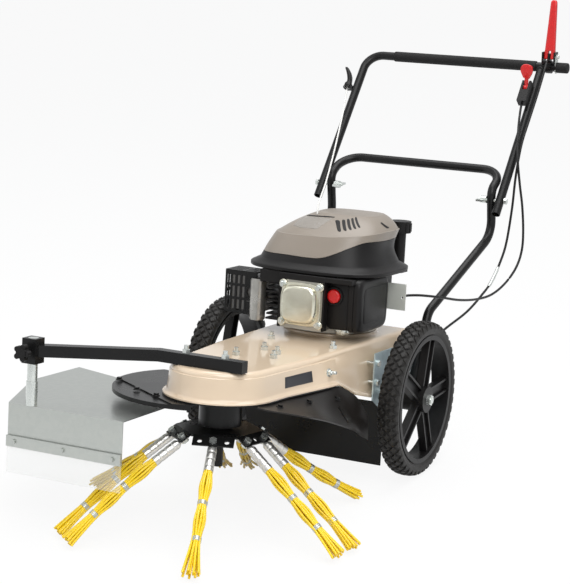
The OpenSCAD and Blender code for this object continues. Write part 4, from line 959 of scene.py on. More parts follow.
@dataclass
class Handles:
    """Smooth bent tubes of both handles with their foam grip."""

    shop: Workshop
    tube_r: float = 0.011
    wall: float = 0.0018
    sides: int = 28
    lower_x: float = 0.222
    lower_bends: tuple[float, ...] = (0.0, 0.050, 0.055, 0.028, 0.055)
    leg: float = 0.411
    tail: float = 0.040
    bar_end: float = 0.314
    bar_bend: float = 0.045
    foam_r: float = 0.0135
    foam_bore: float = 0.01115
    foam_edge: float = 0.004
    foam_roll: float = 0.0018
    foam_x: tuple[float, float] = (-0.168, 0.232)
    cap_x: tuple[float, float] = (0.286, 0.317)

    def tube(self, line: Array, across: Sequence[float]) -> Skin:
        """Carries an outer and an inner circle along a line, joined into one closed shell.

        Args:
            line: Points of the machine's frame.
            across: Direction that the first side faces.

        Returns:
            The hollow tube.
        """
        path = machine(line)
        outer = sweep(path, self.tube_r, across, self.sides)
        inner = sweep(path, self.tube_r - self.wall, across, self.sides)[::-1]
        return skin(np.concatenate([outer, inner]), loop=True)

    def lower(self) -> None:
        """Lower handle: feet, knees, rise to the fold and the cross bar."""
        y, z = HANDLE_FOLD
        right = [(-0.1823, 0.132, 0.176), (-0.1843, 0.210, 0.332), (-self.lower_x, y + 0.012, z - 0.090),
                 (-self.lower_x, y, z + 0.025), (-self.lower_x, y + 0.079, z + 0.062)]
        points = right + [(-a, b, c) for a, b, c in reversed(right)]
        line = bent_line(points, self.lower_bends + self.lower_bends[::-1])
        self.shop.piece("lower_tube", [self.tube(line, (0.1, 1, 0))], BLACK_COAT, ["lower_handle"])

    def bar(self) -> Array:
        """Middle of the bar: depth and height of the upper legs' ends."""
        return np.array(HANDLE_FOLD) + self.leg * np.array([math.cos(LEG_RISE), math.sin(LEG_RISE)])

    def upper(self) -> None:
        """Upper handle: right leg and bar in one tube, left leg welded under the bar with a bead."""
        by, bz = self.bar()
        run = np.array([0.0, math.cos(LEG_RISE), math.sin(LEG_RISE)])
        foot = np.array([0.0, *HANDLE_FOLD]) - run * self.tail
        corners = [(-LEG_X, foot[1], foot[2]), (-LEG_X, by, bz), (self.bar_end, by, bz)]
        line = bent_line(corners, (0, self.bar_bend, 0), 24)
        weld = np.array([LEG_X, by, bz])
        start = np.array([LEG_X, foot[1], foot[2]])
        left = start + (weld - run * 0.006 - start) * np.linspace(0, 1, 24)[:, None]
        profile = [(0.0108, -0.004), (0.0128, -0.002), (0.0134, 0.0005), (0.0122, 0.003), (0.0105, 0.005)]
        bead = turned(profile, self.sides, machine(weld - run * 0.0105), run)
        side = (0.0, run[2], -run[1])
        skins = [self.tube(line, side), self.tube(left, side), skin(bead)]
        self.shop.piece("upper_tube", skins, BLACK_COAT, ["upper_handle"], "upper_handle")

    def sleeve(self, ends: tuple[float, float], closed: bool) -> Skin:
        """Sleeve along the bar whose ends roll in by a quarter circle.

        Args:
            ends: Where it starts and stops across the machine.
            closed: Closes its ends instead of leaving a bore.

        Returns:
            The sleeve.
        """
        by, bz = self.bar()
        edge, length = self.foam_edge, ends[1] - ends[0]
        middle = np.linspace(edge, length - edge, 30)[1:]
        steps = np.concatenate([np.linspace(0, edge, 6), middle, length - np.linspace(edge, 0, 6)[1:]])
        rim = np.clip(np.minimum(steps, length - steps) / edge, 0, 1)
        r = self.foam_r - self.foam_roll * (1 - np.sqrt(np.clip(1 - (1 - rim) ** 2, 0, 1)))
        line = machine(np.stack([ends[0] + steps, np.full_like(steps, by), np.full_like(steps, bz)], -1))
        outer = sweep(line, r, (0, 1, 0), 32)
        if closed:
            return skin(outer)
        return skin(np.concatenate([outer, sweep(line, self.foam_bore, (0, 1, 0), 32)[::-1]]), loop=True)

    def grips(self) -> None:
        """Foam sleeve on the bar, and the short closed one on its left end."""
        skins = [self.sleeve(self.foam_x, False), self.sleeve(self.cap_x, True)]
        self.shop.piece("grip_foam_sleeves", skins, FOAM, ["grip_sleeves"], "upper_handle", sharp=50)

    def build(self) -> None:
        """Makes the tubes and grips."""
        self.lower()
        self.upper()
        self.grips()


@dataclass
class PressedDeck:
    """Deck pressing: flared rim, tall wall, rolled top edge and the raised engine ring."""

    shop: Workshop
    back: float = 0.190
    nose_top: float = 0.112
    nose_rim: float = 0.126
    rim_low: float = 0.001
    sheet: float = 0.0025
    edge: float = 0.012

    def half(self, y: Array, level: Array | float) -> Array:
        """Half width of the wall, straight between listed widths of rim and top.

        Args:
            y: Depth along the deck.
            level: Share of the way up, 0 at the rim and 1 at the top.

        Returns:
            The half widths.
        """
        top = np.interp(y, [SPINDLE_Y, -0.282, -0.044, self.back], [self.nose_top, 0.133, 0.140, 0.145])
        rim = np.interp(y, [SPINDLE_Y, -0.434, ARCH_Y, self.back], [self.nose_rim, 0.130, 0.164, 0.164])
        return rim * (1 - level) + top * level

    def rim(self, y: Array) -> Array:
        """Height of the rim's lower edge, which steps down behind the arch."""
        return np.interp(y, [ARCH_Y, -0.154, -0.071, self.back], [0.059, 0.021, self.rim_low, self.rim_low])

    def ring(self, level: float, inset: float, rise: float) -> Array:
        """One ring round the deck: along the right side, round the nose and back along the left.

        Args:
            level: Share of the way up the wall.
            inset: How far it is drawn in.
            rise: Height added to it.

        Returns:
            Points of the deck's frame.
        """
        radius = self.nose_rim * (1 - level) + self.nose_top * level - inset
        ys = np.linspace(self.back - inset, SPINDLE_Y + 0.015, 60)
        a = np.radians(np.linspace(-172.0, -8.0, 64))
        w = self.half(ys, level) - inset
        x = np.concatenate([-w, radius * np.cos(a), w[::-1]])
        y = np.concatenate([ys, SPINDLE_Y + radius * np.sin(a), ys[::-1]])
        z = self.rim(y) * (1 - level) + DECK_TOP * level + rise
        return np.stack([x, y, z], -1)

    def shell(self) -> Skin:
        """Closed sheet: the inner wall from the top down, then the outer wall up over the rolled edge.

        Returns:
            The sheet.
        """
        outer = [(0.0, 0.0, 0.0), (0.0, 0.0, 0.003), (0.015, 0.0012, 0.0035), (0.04, 0.0042, 0.003),
                 (0.09, 0.0066, 0.002), (0.16, 0.0070, 0.0), (0.50, 0.0040, 0.0), (0.80, 0.0018, 0.0)]
        outer += [(1.0, 0.001 + self.edge * (1 - math.cos(v)), -self.edge * (1 - math.sin(v)))
                  for v in quarter(9)]
        inner = [(1.0, 0.016, -self.sheet), (1.0, 0.0045, -0.010)]
        inner += [(level, inset + self.sheet, rise) for level, inset, rise in (
            (0.80, 0.0018, -0.001), (0.16, 0.0070, 0.0), (0.06, 0.0060, 0.0), (0.0, 0.002, 0.0))]
        return skin(deck(np.stack([self.ring(*r) for r in inner + outer])))

    def engine_ring(self) -> Skin:
        """Turned ring under the engine: a coved foot and a rolled edge, each a quarter circle.

        Returns:
            The ring.
        """
        foot = [(0.118 - 0.006 * math.sin(v), 0.006 * (1 - math.cos(v)) - 0.0002) for v in quarter(7)]
        top = [(0.112 - 0.0025 * (1 - math.cos(v)), 0.0055 + 0.0025 * math.sin(v)) for v in quarter(7)]
        return skin(turned(foot + top + [(0.09, 0.008)], 96, deck((0, ENGINE_Y, DECK_TOP)), DECK_UP))

    def build(self) -> None:
        """Makes the pressing."""
        self.shop.piece("deck_pressing", [self.shell(), self.engine_ring()], CREAM, ["deck"], sharp=40)


@dataclass
class Cowl:
    """Engine cowl in two mouldings, with its lip, wavy split, ridge, domed top and vents."""

    shop: Workshop
    lip: tuple[float, float] = (0.174, 0.160)
    lip_z: float = 0.150
    middle: tuple[float, float] = (-0.012, 0.002)
    drift: tuple[float, float] = (0.0346, 0.035)
    neck: float = 0.016
    bore: float = 0.073
    band: float = 0.041
    dome: float = 0.0875
    ridge: float = 0.002
    vents: int = 5
    vent_half: float = 2.1
    # Rise covered by the dark band of painted shadow along the plate's top edge.
    painted_shadow_band: float = 0.030
    profile: tuple[tuple[float, float], ...] = (
        (-0.31, 2.0), (0.0, 14.5), (0.2, 20.5), (0.4, 24.0), (0.65, 28.0))
    crown_inset: float = 0.084
    split: tuple[tuple[float, float], ...] = (
        (-2, 0.39), (24, 0.39), (60, 0.25), (90, 0.05), (150, -0.04), (207, -0.10), (257, -0.077),
        (271, -0.086), (279, -0.045), (292, 0.103), (305, 0.25), (325, 0.39), (362, 0.39))
    ridge_line: tuple[tuple[float, float], ...] = (
        (-2, 0.64), (8, 0.64), (60, 0.60), (180, 0.46), (213, 0.44), (257, 0.451), (275, 0.475),
        (291, 0.513), (345, 0.631), (362, 0.64))
    first_vent: tuple[tuple[float, float], tuple[float, float]] = ((271.9, 0.877), (283.3, 0.630))
    last_vent: tuple[tuple[float, float], tuple[float, float]] = ((291.2, 0.977), (306.2, 0.753))
    label: tuple[tuple[float, float], ...] = (
        (211.9, 0.860), (269.0, 0.909), (267.3, 0.617), (235.2, 0.620))
    side_vent: tuple[tuple[float, float], ...] = (
        (346.5, 0.86), (350.0, 0.875), (360.5, 0.725), (357.0, 0.710))
    angle: Array = field(default_factory=lambda: np.linspace(0.0, 2.0 * math.pi, 240, endpoint=False))

    def outline(self, a: Array | float, b: Array | float, angle: Array) -> tuple[Array, Array]:
        """Rounded square: each side's share of cosine and sine raised to two thirds."""
        c, s = np.cos(angle), np.sin(angle)
        return a * np.sign(c) * np.abs(c) ** (2 / 3), b * np.sign(s) * np.abs(s) ** (2 / 3)

    def surface(self, rise: Array, angle: Array, out: float = 0.0) -> Array:
        """Side of the cowl.

        Up to the ridge the inset follows a listed profile; over it, with t from ridge to crown, it grows
        with 0.72 t + 0.28 t^3, so the ridge is a crease. The middle drifts with the rise to the power 1.6.

        Args:
            rise: Share of the dome's rise, below zero on the band.
            angle: Angle round the shaft.
            out: How far the points are moved out.

        Returns:
            Points of the engine's frame.
        """
        knots = smooth_line([(r, inset / MM_PER_M, 0.0) for r, inset in self.profile], 8)
        ridge = self.along(self.ridge_line, angle)
        side = np.interp(np.minimum(rise, ridge), knots[:, 0], knots[:, 1])
        t = np.clip((rise - ridge) / (1.0 - ridge), 0, 1)
        over = np.clip((rise - ridge) / 0.008, 0, 1) * self.ridge
        inset = side + over + (self.crown_inset - side - over) * (0.72 * t + 0.28 * t**3) - out
        shift = np.clip(rise, 0.0, 1.0) ** 1.6
        x, y = self.outline(self.lip[0] - self.neck - inset, self.lip[1] - self.neck - inset, angle)
        z = self.lip_z + self.band + self.dome * rise
        (mx, my), (dx, dy) = self.middle, self.drift
        return np.stack([x + mx + dx * shift, y + my + dy * shift, z + 0 * x], -1)

    def along(self, line: Sequence[Sequence[float]], angle: Array) -> Array:
        """Rise of a line round the cowl, given as pairs of degrees and rise and smoothed."""
        knots = smooth_line([(a, r, 0.0) for a, r in line], 8)
        return np.interp(np.degrees(angle) % 360.0, knots[:, 0], knots[:, 1])

    def flat(self, z: float, inset: float) -> Array:
        """Level ring of the lip, drawn in from its edge."""
        x, y = self.outline(self.lip[0] - inset, self.lip[1] - inset, self.angle)
        return np.stack([x + self.middle[0], y + self.middle[1], np.full_like(x, z)], -1)

    def lower(self) -> None:
        """Black lower moulding: rolled lip, leaning band up to the split, and floor."""
        z = self.lip_z
        split = self.along(self.split, self.angle)
        roll = ((0.0, 0.0015), (0.0015, 0.0), (0.0075, 0.0), (0.0090, 0.0015), (0.0105, 0.0045))
        rings = [self.flat(z + dz, inset) for dz, inset in roll]
        rings += [self.surface(-0.25 + (split + 0.25) * f, self.angle) for f in np.linspace(0.0, 1.0, 14)]
        rings += [self.surface(-0.29 + (split + 0.29) * f - 0.004, self.angle, -0.0028)
                  for f in np.linspace(1.0, 0.0, 6)]
        x, y = self.outline(self.bore, self.bore, self.angle)
        rings.append(self.flat(z + 0.003, 0.014))
        rings += [np.stack([x, y, np.full_like(x, h)], -1) for h in (z + 0.003, z)]
        shell = skin(engine(np.stack(rings)), loop=True)
        self.shop.piece("cowl_band", [shell], BLACK_PLASTIC, ["cowl_lower"], sharp=40)

    def upper(self) -> None:
        """Taupe dome from the split line to its crown, a hair above the band."""
        split = self.along(self.split, self.angle) + 0.006
        ridge = self.along(self.ridge_line, self.angle)
        low = split + 0.006
        rings = [self.surface(split + 0.01, self.angle, -0.0025), self.surface(split, self.angle, -0.0012)]
        rises = [low]
        rises += [low + (ridge - 0.003 - low) * f for f in np.linspace(0.03, 1.0, 14)]
        rises += [ridge + d for d in (0.0, 0.004, 0.008, 0.012)]
        rises += [ridge + 0.015 + (0.985 - ridge) * f for f in np.linspace(0.02, 1.0, 26)]
        rings += [self.surface(rise, self.angle) for rise in rises]
        edge = rings[-1]
        crown = edge.mean(0)
        rings += [crown + (edge - crown) * f + np.array([0, 0, 0.0016 * (1 - f)]) for f in (0.8, 0.5, 0.2)]
        self.shop.piece("cowl_dome", [skin(engine(np.stack(rings)))], TAUPE, ["cowl_upper"], sharp=20)

    def patch(self, corners: Sequence[Sequence[float]], lift: float, ends: float) -> Skin:
        """Thin plate on the dome, bilinear between four corners, each an angle in degrees and a rise.

        Args:
            corners: Upper left, upper right, lower right and lower left corner.
            lift: How far its face stands out.
            ends: Power that rounds its ends, larger for squarer ones.

        Returns:
            The plate.
        """
        u, v = np.meshgrid(np.linspace(-1, 1, 13), np.linspace(-1, 1, 25))
        wide = np.sqrt(np.clip(1 - np.abs(v) ** ends, 0.03, 1))
        p, q = (0.5 + 0.5 * u * wide)[..., None], (0.5 + 0.5 * v)[..., None]
        tl, tr, br, bl = (np.asarray(c) for c in corners)
        at = (1 - q) * ((1 - p) * bl + p * br) + q * ((1 - p) * tl + p * tr)
        rise, angle = at[..., 1], np.radians(at[..., 0])
        ease = np.clip((1 - np.maximum(np.abs(u), np.abs(v))) / 0.1, 0, 1)
        face = self.surface(rise, angle, lift) + np.array([0, 0, 1.0]) * (lift * ease)[..., None]
        return sheet(engine(face), engine(self.surface(rise, angle, -0.003)))

    def openings(self) -> None:
        """Dark vent slots on the dome's shoulder, a band of painted shadow over the bare plate and a small slot
        at the side.
        """
        skins: list[Skin] = []
        wide = np.array([self.vent_half, 0.0])
        first, last = np.asarray(self.first_vent), np.asarray(self.last_vent)
        for f in np.linspace(0.0, 1.0, self.vents):
            top, low = first * (1 - f) + last * f
            skins.append(self.patch((top - wide, top + wide, low + wide, low - wide), 0.0006, 8.0))
        tl, tr = (np.asarray(c) for c in self.label[:2])
        # The band over the plate is painted shadow: black standing for the shadow line at the plate's top edge.
        gap = np.array([0.0, self.painted_shadow_band])
        skins.append(self.patch((tl + gap, tr + gap, tr + 0.2 * gap, tl + 0.2 * gap), 0.0006, 30.0))
        skins.append(self.patch(self.side_vent, 0.0006, 8.0))
        # The vent slots and the painted shadow band are one black piece.
        self.shop.piece("cowl_vents_and_painted_shadow", skins, BLACK_PLASTIC, sharp=50)
        self.shop.piece("cowl_plate", [self.patch(self.label, 0.0005, 40.0)], PALE_TAUPE, sharp=50)

    def build(self) -> None:
        """Makes both mouldings and the vents."""
        self.lower()
        self.upper()
        self.openings()


@dataclass
class Tyre:
    """Tyre with crossed grooves that leave diamond blocks on the tread and shoulders."""

    shop: Workshop
    wheel_x: float = 0.2495
    seat: float = 0.1431
    half: float = 0.025
    diamonds: int = 48
    slant: float = 1.05
    block_rise: float = 0.0012
    groove_depth: float = 0.0036

    def profile(self, v: Array) -> tuple[Array, Array]:
        """Section of the tyre, straight between listed points that one side mirrors from the other.

        Args:
            v: Share of the way from the inner bead over the tread to the outer bead.

        Returns:
            Radius and sideways place.
        """
        side = [(self.seat, 0.0195), (0.150, 0.0205), (0.157, 0.0240), (0.165, 0.0250), (0.172, 0.0232),
                (0.1762, 0.018), (0.1782, 0.009)]
        knots = np.array([(r, -x) for r, x in side] + [(0.1787, 0.0)] + side[::-1])
        at = np.linspace(0, 1, len(knots))
        return np.interp(v, at, knots[:, 0]), np.interp(v, at, knots[:, 1])

    def rings(self, side: float) -> Array:
        """Section carried round the axle, raised between two families of slanting grooves.

        Args:
            side: 1 for the machine's left wheel, -1 for its right.

        Returns:
            Rings of points in the row's frame.
        """
        theta = np.linspace(0, 2 * math.pi, self.diamonds * 18, endpoint=False)[:, None]
        r, x = self.profile(np.linspace(0, 1, 91)[None, :])
        s = x / self.half
        lane = self.diamonds * theta / (2 * math.pi)
        one = np.abs(((lane + self.slant * s) % 1.0) - 0.5)
        two = np.abs(((lane - self.slant * s) % 1.0) - 0.5)
        lift = np.clip((np.minimum(one, two) - 0.13) / 0.06, 0, 1)
        tread = np.clip((r - 0.1655) / 0.004, 0, 1)
        height = r + tread * (self.block_rise * lift - self.groove_depth * (1 - lift))
        height, x = np.broadcast_arrays(height, x + 0 * theta)
        y, z = height * np.sin(theta), height * np.cos(theta)
        return machine(np.stack([side * self.wheel_x + side * x, y, AXLE_HEIGHT + z], -1))

    def build(self) -> None:
        """Makes both tyres."""
        for side, name in ((1.0, "left"), (-1.0, "right")):
            grid = self.rings(side)
            loop = grid[:, ::-1] if side > 0 else grid
            self.shop.piece(f"tyre_tread_{name}", [skin(loop, loop=True)], RUBBER, [f"tyre_{name}"],
                            f"wheel_{name}", sharp=50)


def hex_bolt(centre: Array, axis: Array, across: float, height: float, washer: float,
             stub: float = 0.0) -> list[Skin]:
    """Six-sided head with chamfered edges on a washer, and a threaded stub above it if asked for.

    Args:
        centre: Middle of the washer's lower face.
        axis: Direction that the head faces.
        across: Radius to the head's corners.
        height: Height of the head.
        washer: Radius of the washer.
        stub: Length of the threaded end over the head.

    Returns:
        Skins of washer, head and stub.
    """
    thick, gap, thread, pitch = 0.0016, 0.0001, 0.0003, 0.0012
    top = thick + height
    skins = [skin(turned([(washer, 0), (washer, thick * 0.7), (washer - 0.0006, thick)], 28, centre, axis))]
    head = [(across, thick + gap), (across, thick + height * 0.82), (across * 0.86, top)]
    skins.append(skin(turned(head, 6, centre, axis)))
    if stub > 0:
        z = np.linspace(top + gap, top + stub, max(8, int(stub / thread)))
        r = across * 0.50 + thread * np.sin(z / pitch * 2 * math.pi)
        r[-2:] -= np.array([thread, 3 * thread])
        skins.append(skin(turned(np.stack([r, z], -1), 16, centre, axis)))
    return skins


@dataclass
class EngineFront:
    """Head shroud, sump foot, heat sheet, valve cover, air box, carburettor, priming bulb and muffler guard."""

    shop: Workshop
    cover_z: float = 0.0805
    cover_half: tuple[float, float] = (0.0520, 0.0495)
    dome_half: tuple[float, float] = (0.0405, 0.0430)
    dome_x: float = -0.002
    dome_y: float = -0.1712
    bolt_at: tuple[float, float] = (0.0465, 0.0440)
    box_mid: tuple[float, float] = (-0.065, 0.085)
    box_half: tuple[float, float] = (0.081, 0.063)
    block_x: tuple[float, float] = (0.0525, 0.1078)
    block_z: tuple[float, float] = (0.027, 0.136)
    bowl_at: tuple[float, float] = (0.084, -0.112)
    bulb_at: tuple[float, float] = (0.072, 0.105)
    bulb_r: float = 0.016
    cage_low: tuple[float, float, float] = (-0.222, -0.125, 0.032)
    cage_high: tuple[float, float, float] = (-0.138, -0.058, 0.134)
    cage_sheet: float = 0.003
    head_sheets: tuple[tuple[tuple[float, float, float], tuple[float, float, float]], ...] = (
        ((-0.0605, -0.1645, 0.022), (-0.0522, -0.1637, 0.1485)),
        ((-0.0605, -0.1645, 0.022), (-0.0575, -0.060, 0.1485)),
        ((-0.0605, -0.1648, 0.1340), (0.0560, -0.100, 0.1485)),
        ((0.0521, -0.1635, 0.022), (0.0560, -0.1410, 0.1485)),
        ((-0.118, -0.150, 0.120), (-0.0570, -0.060, 0.149)),
        ((0.0521, -0.1640, 0.1370), (0.1250, -0.1450, 0.1485)))

    def valve_cover(self) -> None:
        """Flange with drawn-in sides, a softly cornered dome, and four bolts on bosses."""
        z = self.cover_z
        fa, fb = self.cover_half
        da, db = self.dome_half
        flange = [(-0.1640, fa, fb, 0, z, 4.2), (-0.1694, fa, fb, 0, z, 4.2),
                  (-0.1702, fa - 0.001, fb - 0.001, 0, z, 4.2),
                  (-0.1703, da + 0.0085, db + 0.0045, self.dome_x, z, 3.6),
                  (self.dome_y, da + 0.0055, db + 0.0025, self.dome_x, z, 3.6)]
        roll = [(0.0128 * math.sin(v), 0.0085 * (1 - math.cos(v))) for v in quarter(10)]
        dome = [(self.dome_y - out, da + 0.0045 - d, db + 0.0018 - d, self.dome_x, z, 3.6) for out, d in roll]
        rings = stack(Axis.FRONT, flange + dome, 72)
        angle = np.linspace(0, 2 * math.pi, 72, endpoint=False)
        waist = 0.0022 * np.cos(2 * angle) ** 2
        rings[:3, :, 0] -= np.sign(np.cos(angle)) * waist * (np.abs(np.cos(angle)) > 0.75)
        corners = [(sx * self.bolt_at[0], z + sz * self.bolt_at[1]) for sx in (-1, 1) for sz in (-1, 1)]
        boss = [(0.0098, 0.0), (0.0100, 0.0004), (0.0100, 0.0052), (0.0092, 0.0060)]
        skins = [skin(engine(rings))]
        bolts: list[Skin] = []
        for x, h in corners:
            skins.append(skin(turned(boss, 32, engine((x, -0.1642, h)), DECK_FRONT)))
            bolts += hex_bolt(engine((x, -0.1705, h)), DECK_FRONT, 0.0058, 0.0045, 0.0078)
        self.shop.piece("valve_cover_pressing", skins, COVER_METAL, ["valve_cover"], sharp=30)
        self.shop.piece("valve_cover_bolts", bolts, ZINC)

    def airbox(self) -> None:
        """Slim black box along the engine's left side: rounded edges, a seam and a raised panel on its face."""
        a, b = self.box_half
        body = [(0.1083, 0.001), (0.1098, 0.0), (0.1210, 0.0), (0.1214, 0.0014), (0.1228, 0.0014),
                (0.1232, 0.0)]
        soft = [(0.1290 + 0.0100 * math.sin(v), 0.0115 * (1 - math.cos(v))) for v in quarter(9)]
        panel = [(0.1390, 0.021), (0.1396, 0.0215), (0.1400, 0.023)]
        stations = [(x, a - d, b - d, *self.box_mid, square)
                    for rows, square in ((body, 8), (soft, 7), (panel, 8)) for x, d in rows]
        rings = stack(Axis.LEFT, stations, 96)
        self.shop.piece("airbox_moulding", [skin(engine(rings))], BLACK_PLASTIC, ["airbox_cover"], sharp=30)

    def carburettor(self) -> None:
        """Black block with soft edges and a collar, and the plated bowl under it."""
        (x0, x1), (z0, z1) = self.block_x, self.block_z
        cx, cz, a, b = (x0 + x1) / 2, (z0 + z1) / 2, (x1 - x0) / 2, (z1 - z0) / 2
        rows = ((-0.0685, 0.0, 9), (-0.1350, 0.0, 9), (-0.1385, 0.0012, 8), (-0.1400, 0.004, 7))
        block = stack(Axis.FRONT, [(y, a - d, b - d, cx, cz, square) for y, d, square in rows], 64)
        rim = [(0.0215, 0), (0.0215, 0.004), (0.0205, 0.0052), (0.0175, 0.0052), (0.0172, 0.0005)]
        collar = turned(rim, 40, engine((self.bulb_at[0], -0.1398, self.bulb_at[1])), DECK_FRONT)
        skins = [skin(engine(block)), skin(collar)]
        self.shop.piece("carburettor_block", skins, BLACK_PLASTIC, ["carburettor"], sharp=30)
        cup = [(0.004, 0.0110), (0.011, 0.0116), (0.0158, 0.0145), (0.0182, 0.0185), (0.0188, 0.0235),
               (0.0188, 0.0255), (0.0200, 0.0260), (0.0200, 0.0285)]
        bowl = turned(cup, 40, engine((*self.bowl_at, 0)), DECK_UP)
        self.shop.piece("float_bowl", [skin(bowl)], ZINC, sharp=30)

    def bulb(self) -> None:
        """Priming bulb: rounded cap with a shallow dimple in its middle."""
        side = [(self.bulb_r, -0.006), (self.bulb_r, 0.0065)]
        nose = [(self.bulb_r - 0.0055 * (1 - math.cos(v)), 0.0065 + 0.0048 * math.sin(v)) for v in quarter(10)]
        dimple = [(0.0085, 0.0111), (0.005, 0.0104), (0.001, 0.0102)]
        place = engine((self.bulb_at[0], -0.1397, self.bulb_at[1]))
        rings = turned(side + nose + dimple, 40, place, DECK_FRONT)
        self.shop.piece("primer_cap", [skin(rings)], RED, ["primer_bulb"], "primer_bulb", sharp=50)

    def slat(self, lo: Sequence[float], hi: Sequence[float]) -> Skin:
        """Bar between two corners of the engine's frame, its edges eased.

        Args:
            lo: Corner with the least values.
            hi: Corner with the greatest values.

        Returns:
            The bar.
        """
        lo, hi = np.asarray(lo), np.asarray(hi)
        mid, half = (lo + hi) / 2, (hi - lo) / 2
        e = min(0.0008, *(half * 0.4))
        rows = [(lo[1], e), (lo[1] + e, 0.0), (hi[1] - e, 0.0), (hi[1], e)]
        stations = [(y, half[0] - d, half[2] - d, mid[0], mid[2], 24) for y, d in rows]
        return skin(engine(stack(Axis.BACK, stations, 32)))

    def muffler_guard(self) -> None:
        """Open cage: upright slots in three rows, a boss with a round port, side and top sheets."""
        (x0, y0, z0), (x1, y1, z1), t = self.cage_low, self.cage_high, self.cage_sheet
        boss_x, inner_y, top_row = x0 + 0.0575, y0 + 0.001, z1 - 0.012
        boxes = [((x, y0, z0), (x + 0.0055, y0 + t, z1)) for x in np.linspace(x0, x0 + 0.052, 5)]
        boxes += [((x0, y0 + 0.0002, z), (x1, y0 + t + 0.0003, z + high))
                  for z, high in ((z0, 0.006), (z0 + 0.032, 0.006), (z0 + 0.064, 0.006), (top_row, 0.012))]
        boxes.append(((boss_x, y0, z0), (x1, y0 + t, z0 + 0.030)))
        boxes.append(((boss_x, y0, z1 - 0.034), (x1, y0 + t, z1)))
        boxes += [((x0, y, z0), (x0 + t, y + 0.006, z1)) for y in np.linspace(inner_y, y1 - 0.007, 6)]
        boxes += [((x0 + 0.0003, inner_y, z), (x0 + t + 0.0003, y1, z + 0.008))
                  for z in (z0, z0 + 0.048, z1 - 0.008)]
        boxes += [((x0, y, z1 - t), (x1, y + 0.008, z1 - 0.0002)) for y in np.linspace(inner_y, y1 - 0.007, 5)]
        boxes += [((x, inner_y, z1 - t - 0.0003), (x + 0.008, y1, z1 - 0.0005))
                  for x in (x0, x0 + 0.040, x1 - 0.008)]
        rim = [(0.011, -0.004), (0.0165, -0.003), (0.0172, 0.0005), (0.0165, 0.0022), (0.0112, 0.0022),
               (0.0105, -0.004)]
        port = turned(rim, 32, engine((x1 - 0.0135, y0, z0 + 0.053)), DECK_FRONT)
        skins = [self.slat(lo, hi) for lo, hi in boxes] + [skin(port)]
        self.shop.piece("muffler_cage", skins, BLACK_COAT, ["muffler_guard"], sharp=30)

    def shroud(self) -> None:
        """Black sheet sleeve round the head, the duct beside it and dark fins towards the heat shield."""
        fins = [((-0.100, -0.148 + 0.004 * (k % 3), z), (-0.0600, -0.060, z + 0.0045))
                for k, z in enumerate(np.arange(0.032, 0.118, 0.0105))]
        skins = [self.slat(lo, hi) for lo, hi in (*self.head_sheets, *fins)]
        self.shop.piece("head_shroud", skins, BLACK_PLASTIC, sharp=30)

    def sump(self) -> None:
        """Round foot of the crankcase over the deck's ring, with eased edges."""
        foot = [(0.1080, 0.0083), (0.1095, 0.0095), (0.1095, 0.0190), (0.1080, 0.0208), (0.1010, 0.0212),
                (0.1000, 0.0260), (0.092, 0.0262)]
        self.shop.piece("sump_foot", [skin(turned(foot, 96, engine((0, 0, 0)), DECK_UP))], CAST, sharp=30)

    def heat_sheet(self) -> None:
        """Upright sheet beside the muffler, its depth growing with the fourth power of the way to its edges."""
        u, v = np.meshgrid(np.linspace(-1, 1, 25), np.linspace(0, 1, 25))
        corner = np.clip((np.abs(v - 0.5) - 0.44) / 0.06, 0, 1) ** 2
        x = -0.137 + (0.0205 - 0.004 * corner) * u
        y = -0.1335 + 0.016 * np.abs(u) ** 4 + 0.0002 * np.cos(v * 22.0)
        face = np.stack([x, y, 0.022 + 0.098 * v], -1)
        skins = [sheet(engine(face), engine(face + np.array([0.0, 0.0016, 0.0])))]
        self.shop.piece("heat_sheet_pressing", skins, MOTTLED, ["heat_shield"], sharp=40)

    def build(self) -> None:
        """Makes each front piece."""
        self.shroud()
        self.sump()
        self.heat_sheet()
        self.valve_cover()
        self.airbox()
        self.carburettor()
        self.bulb()
        self.muffler_guard()


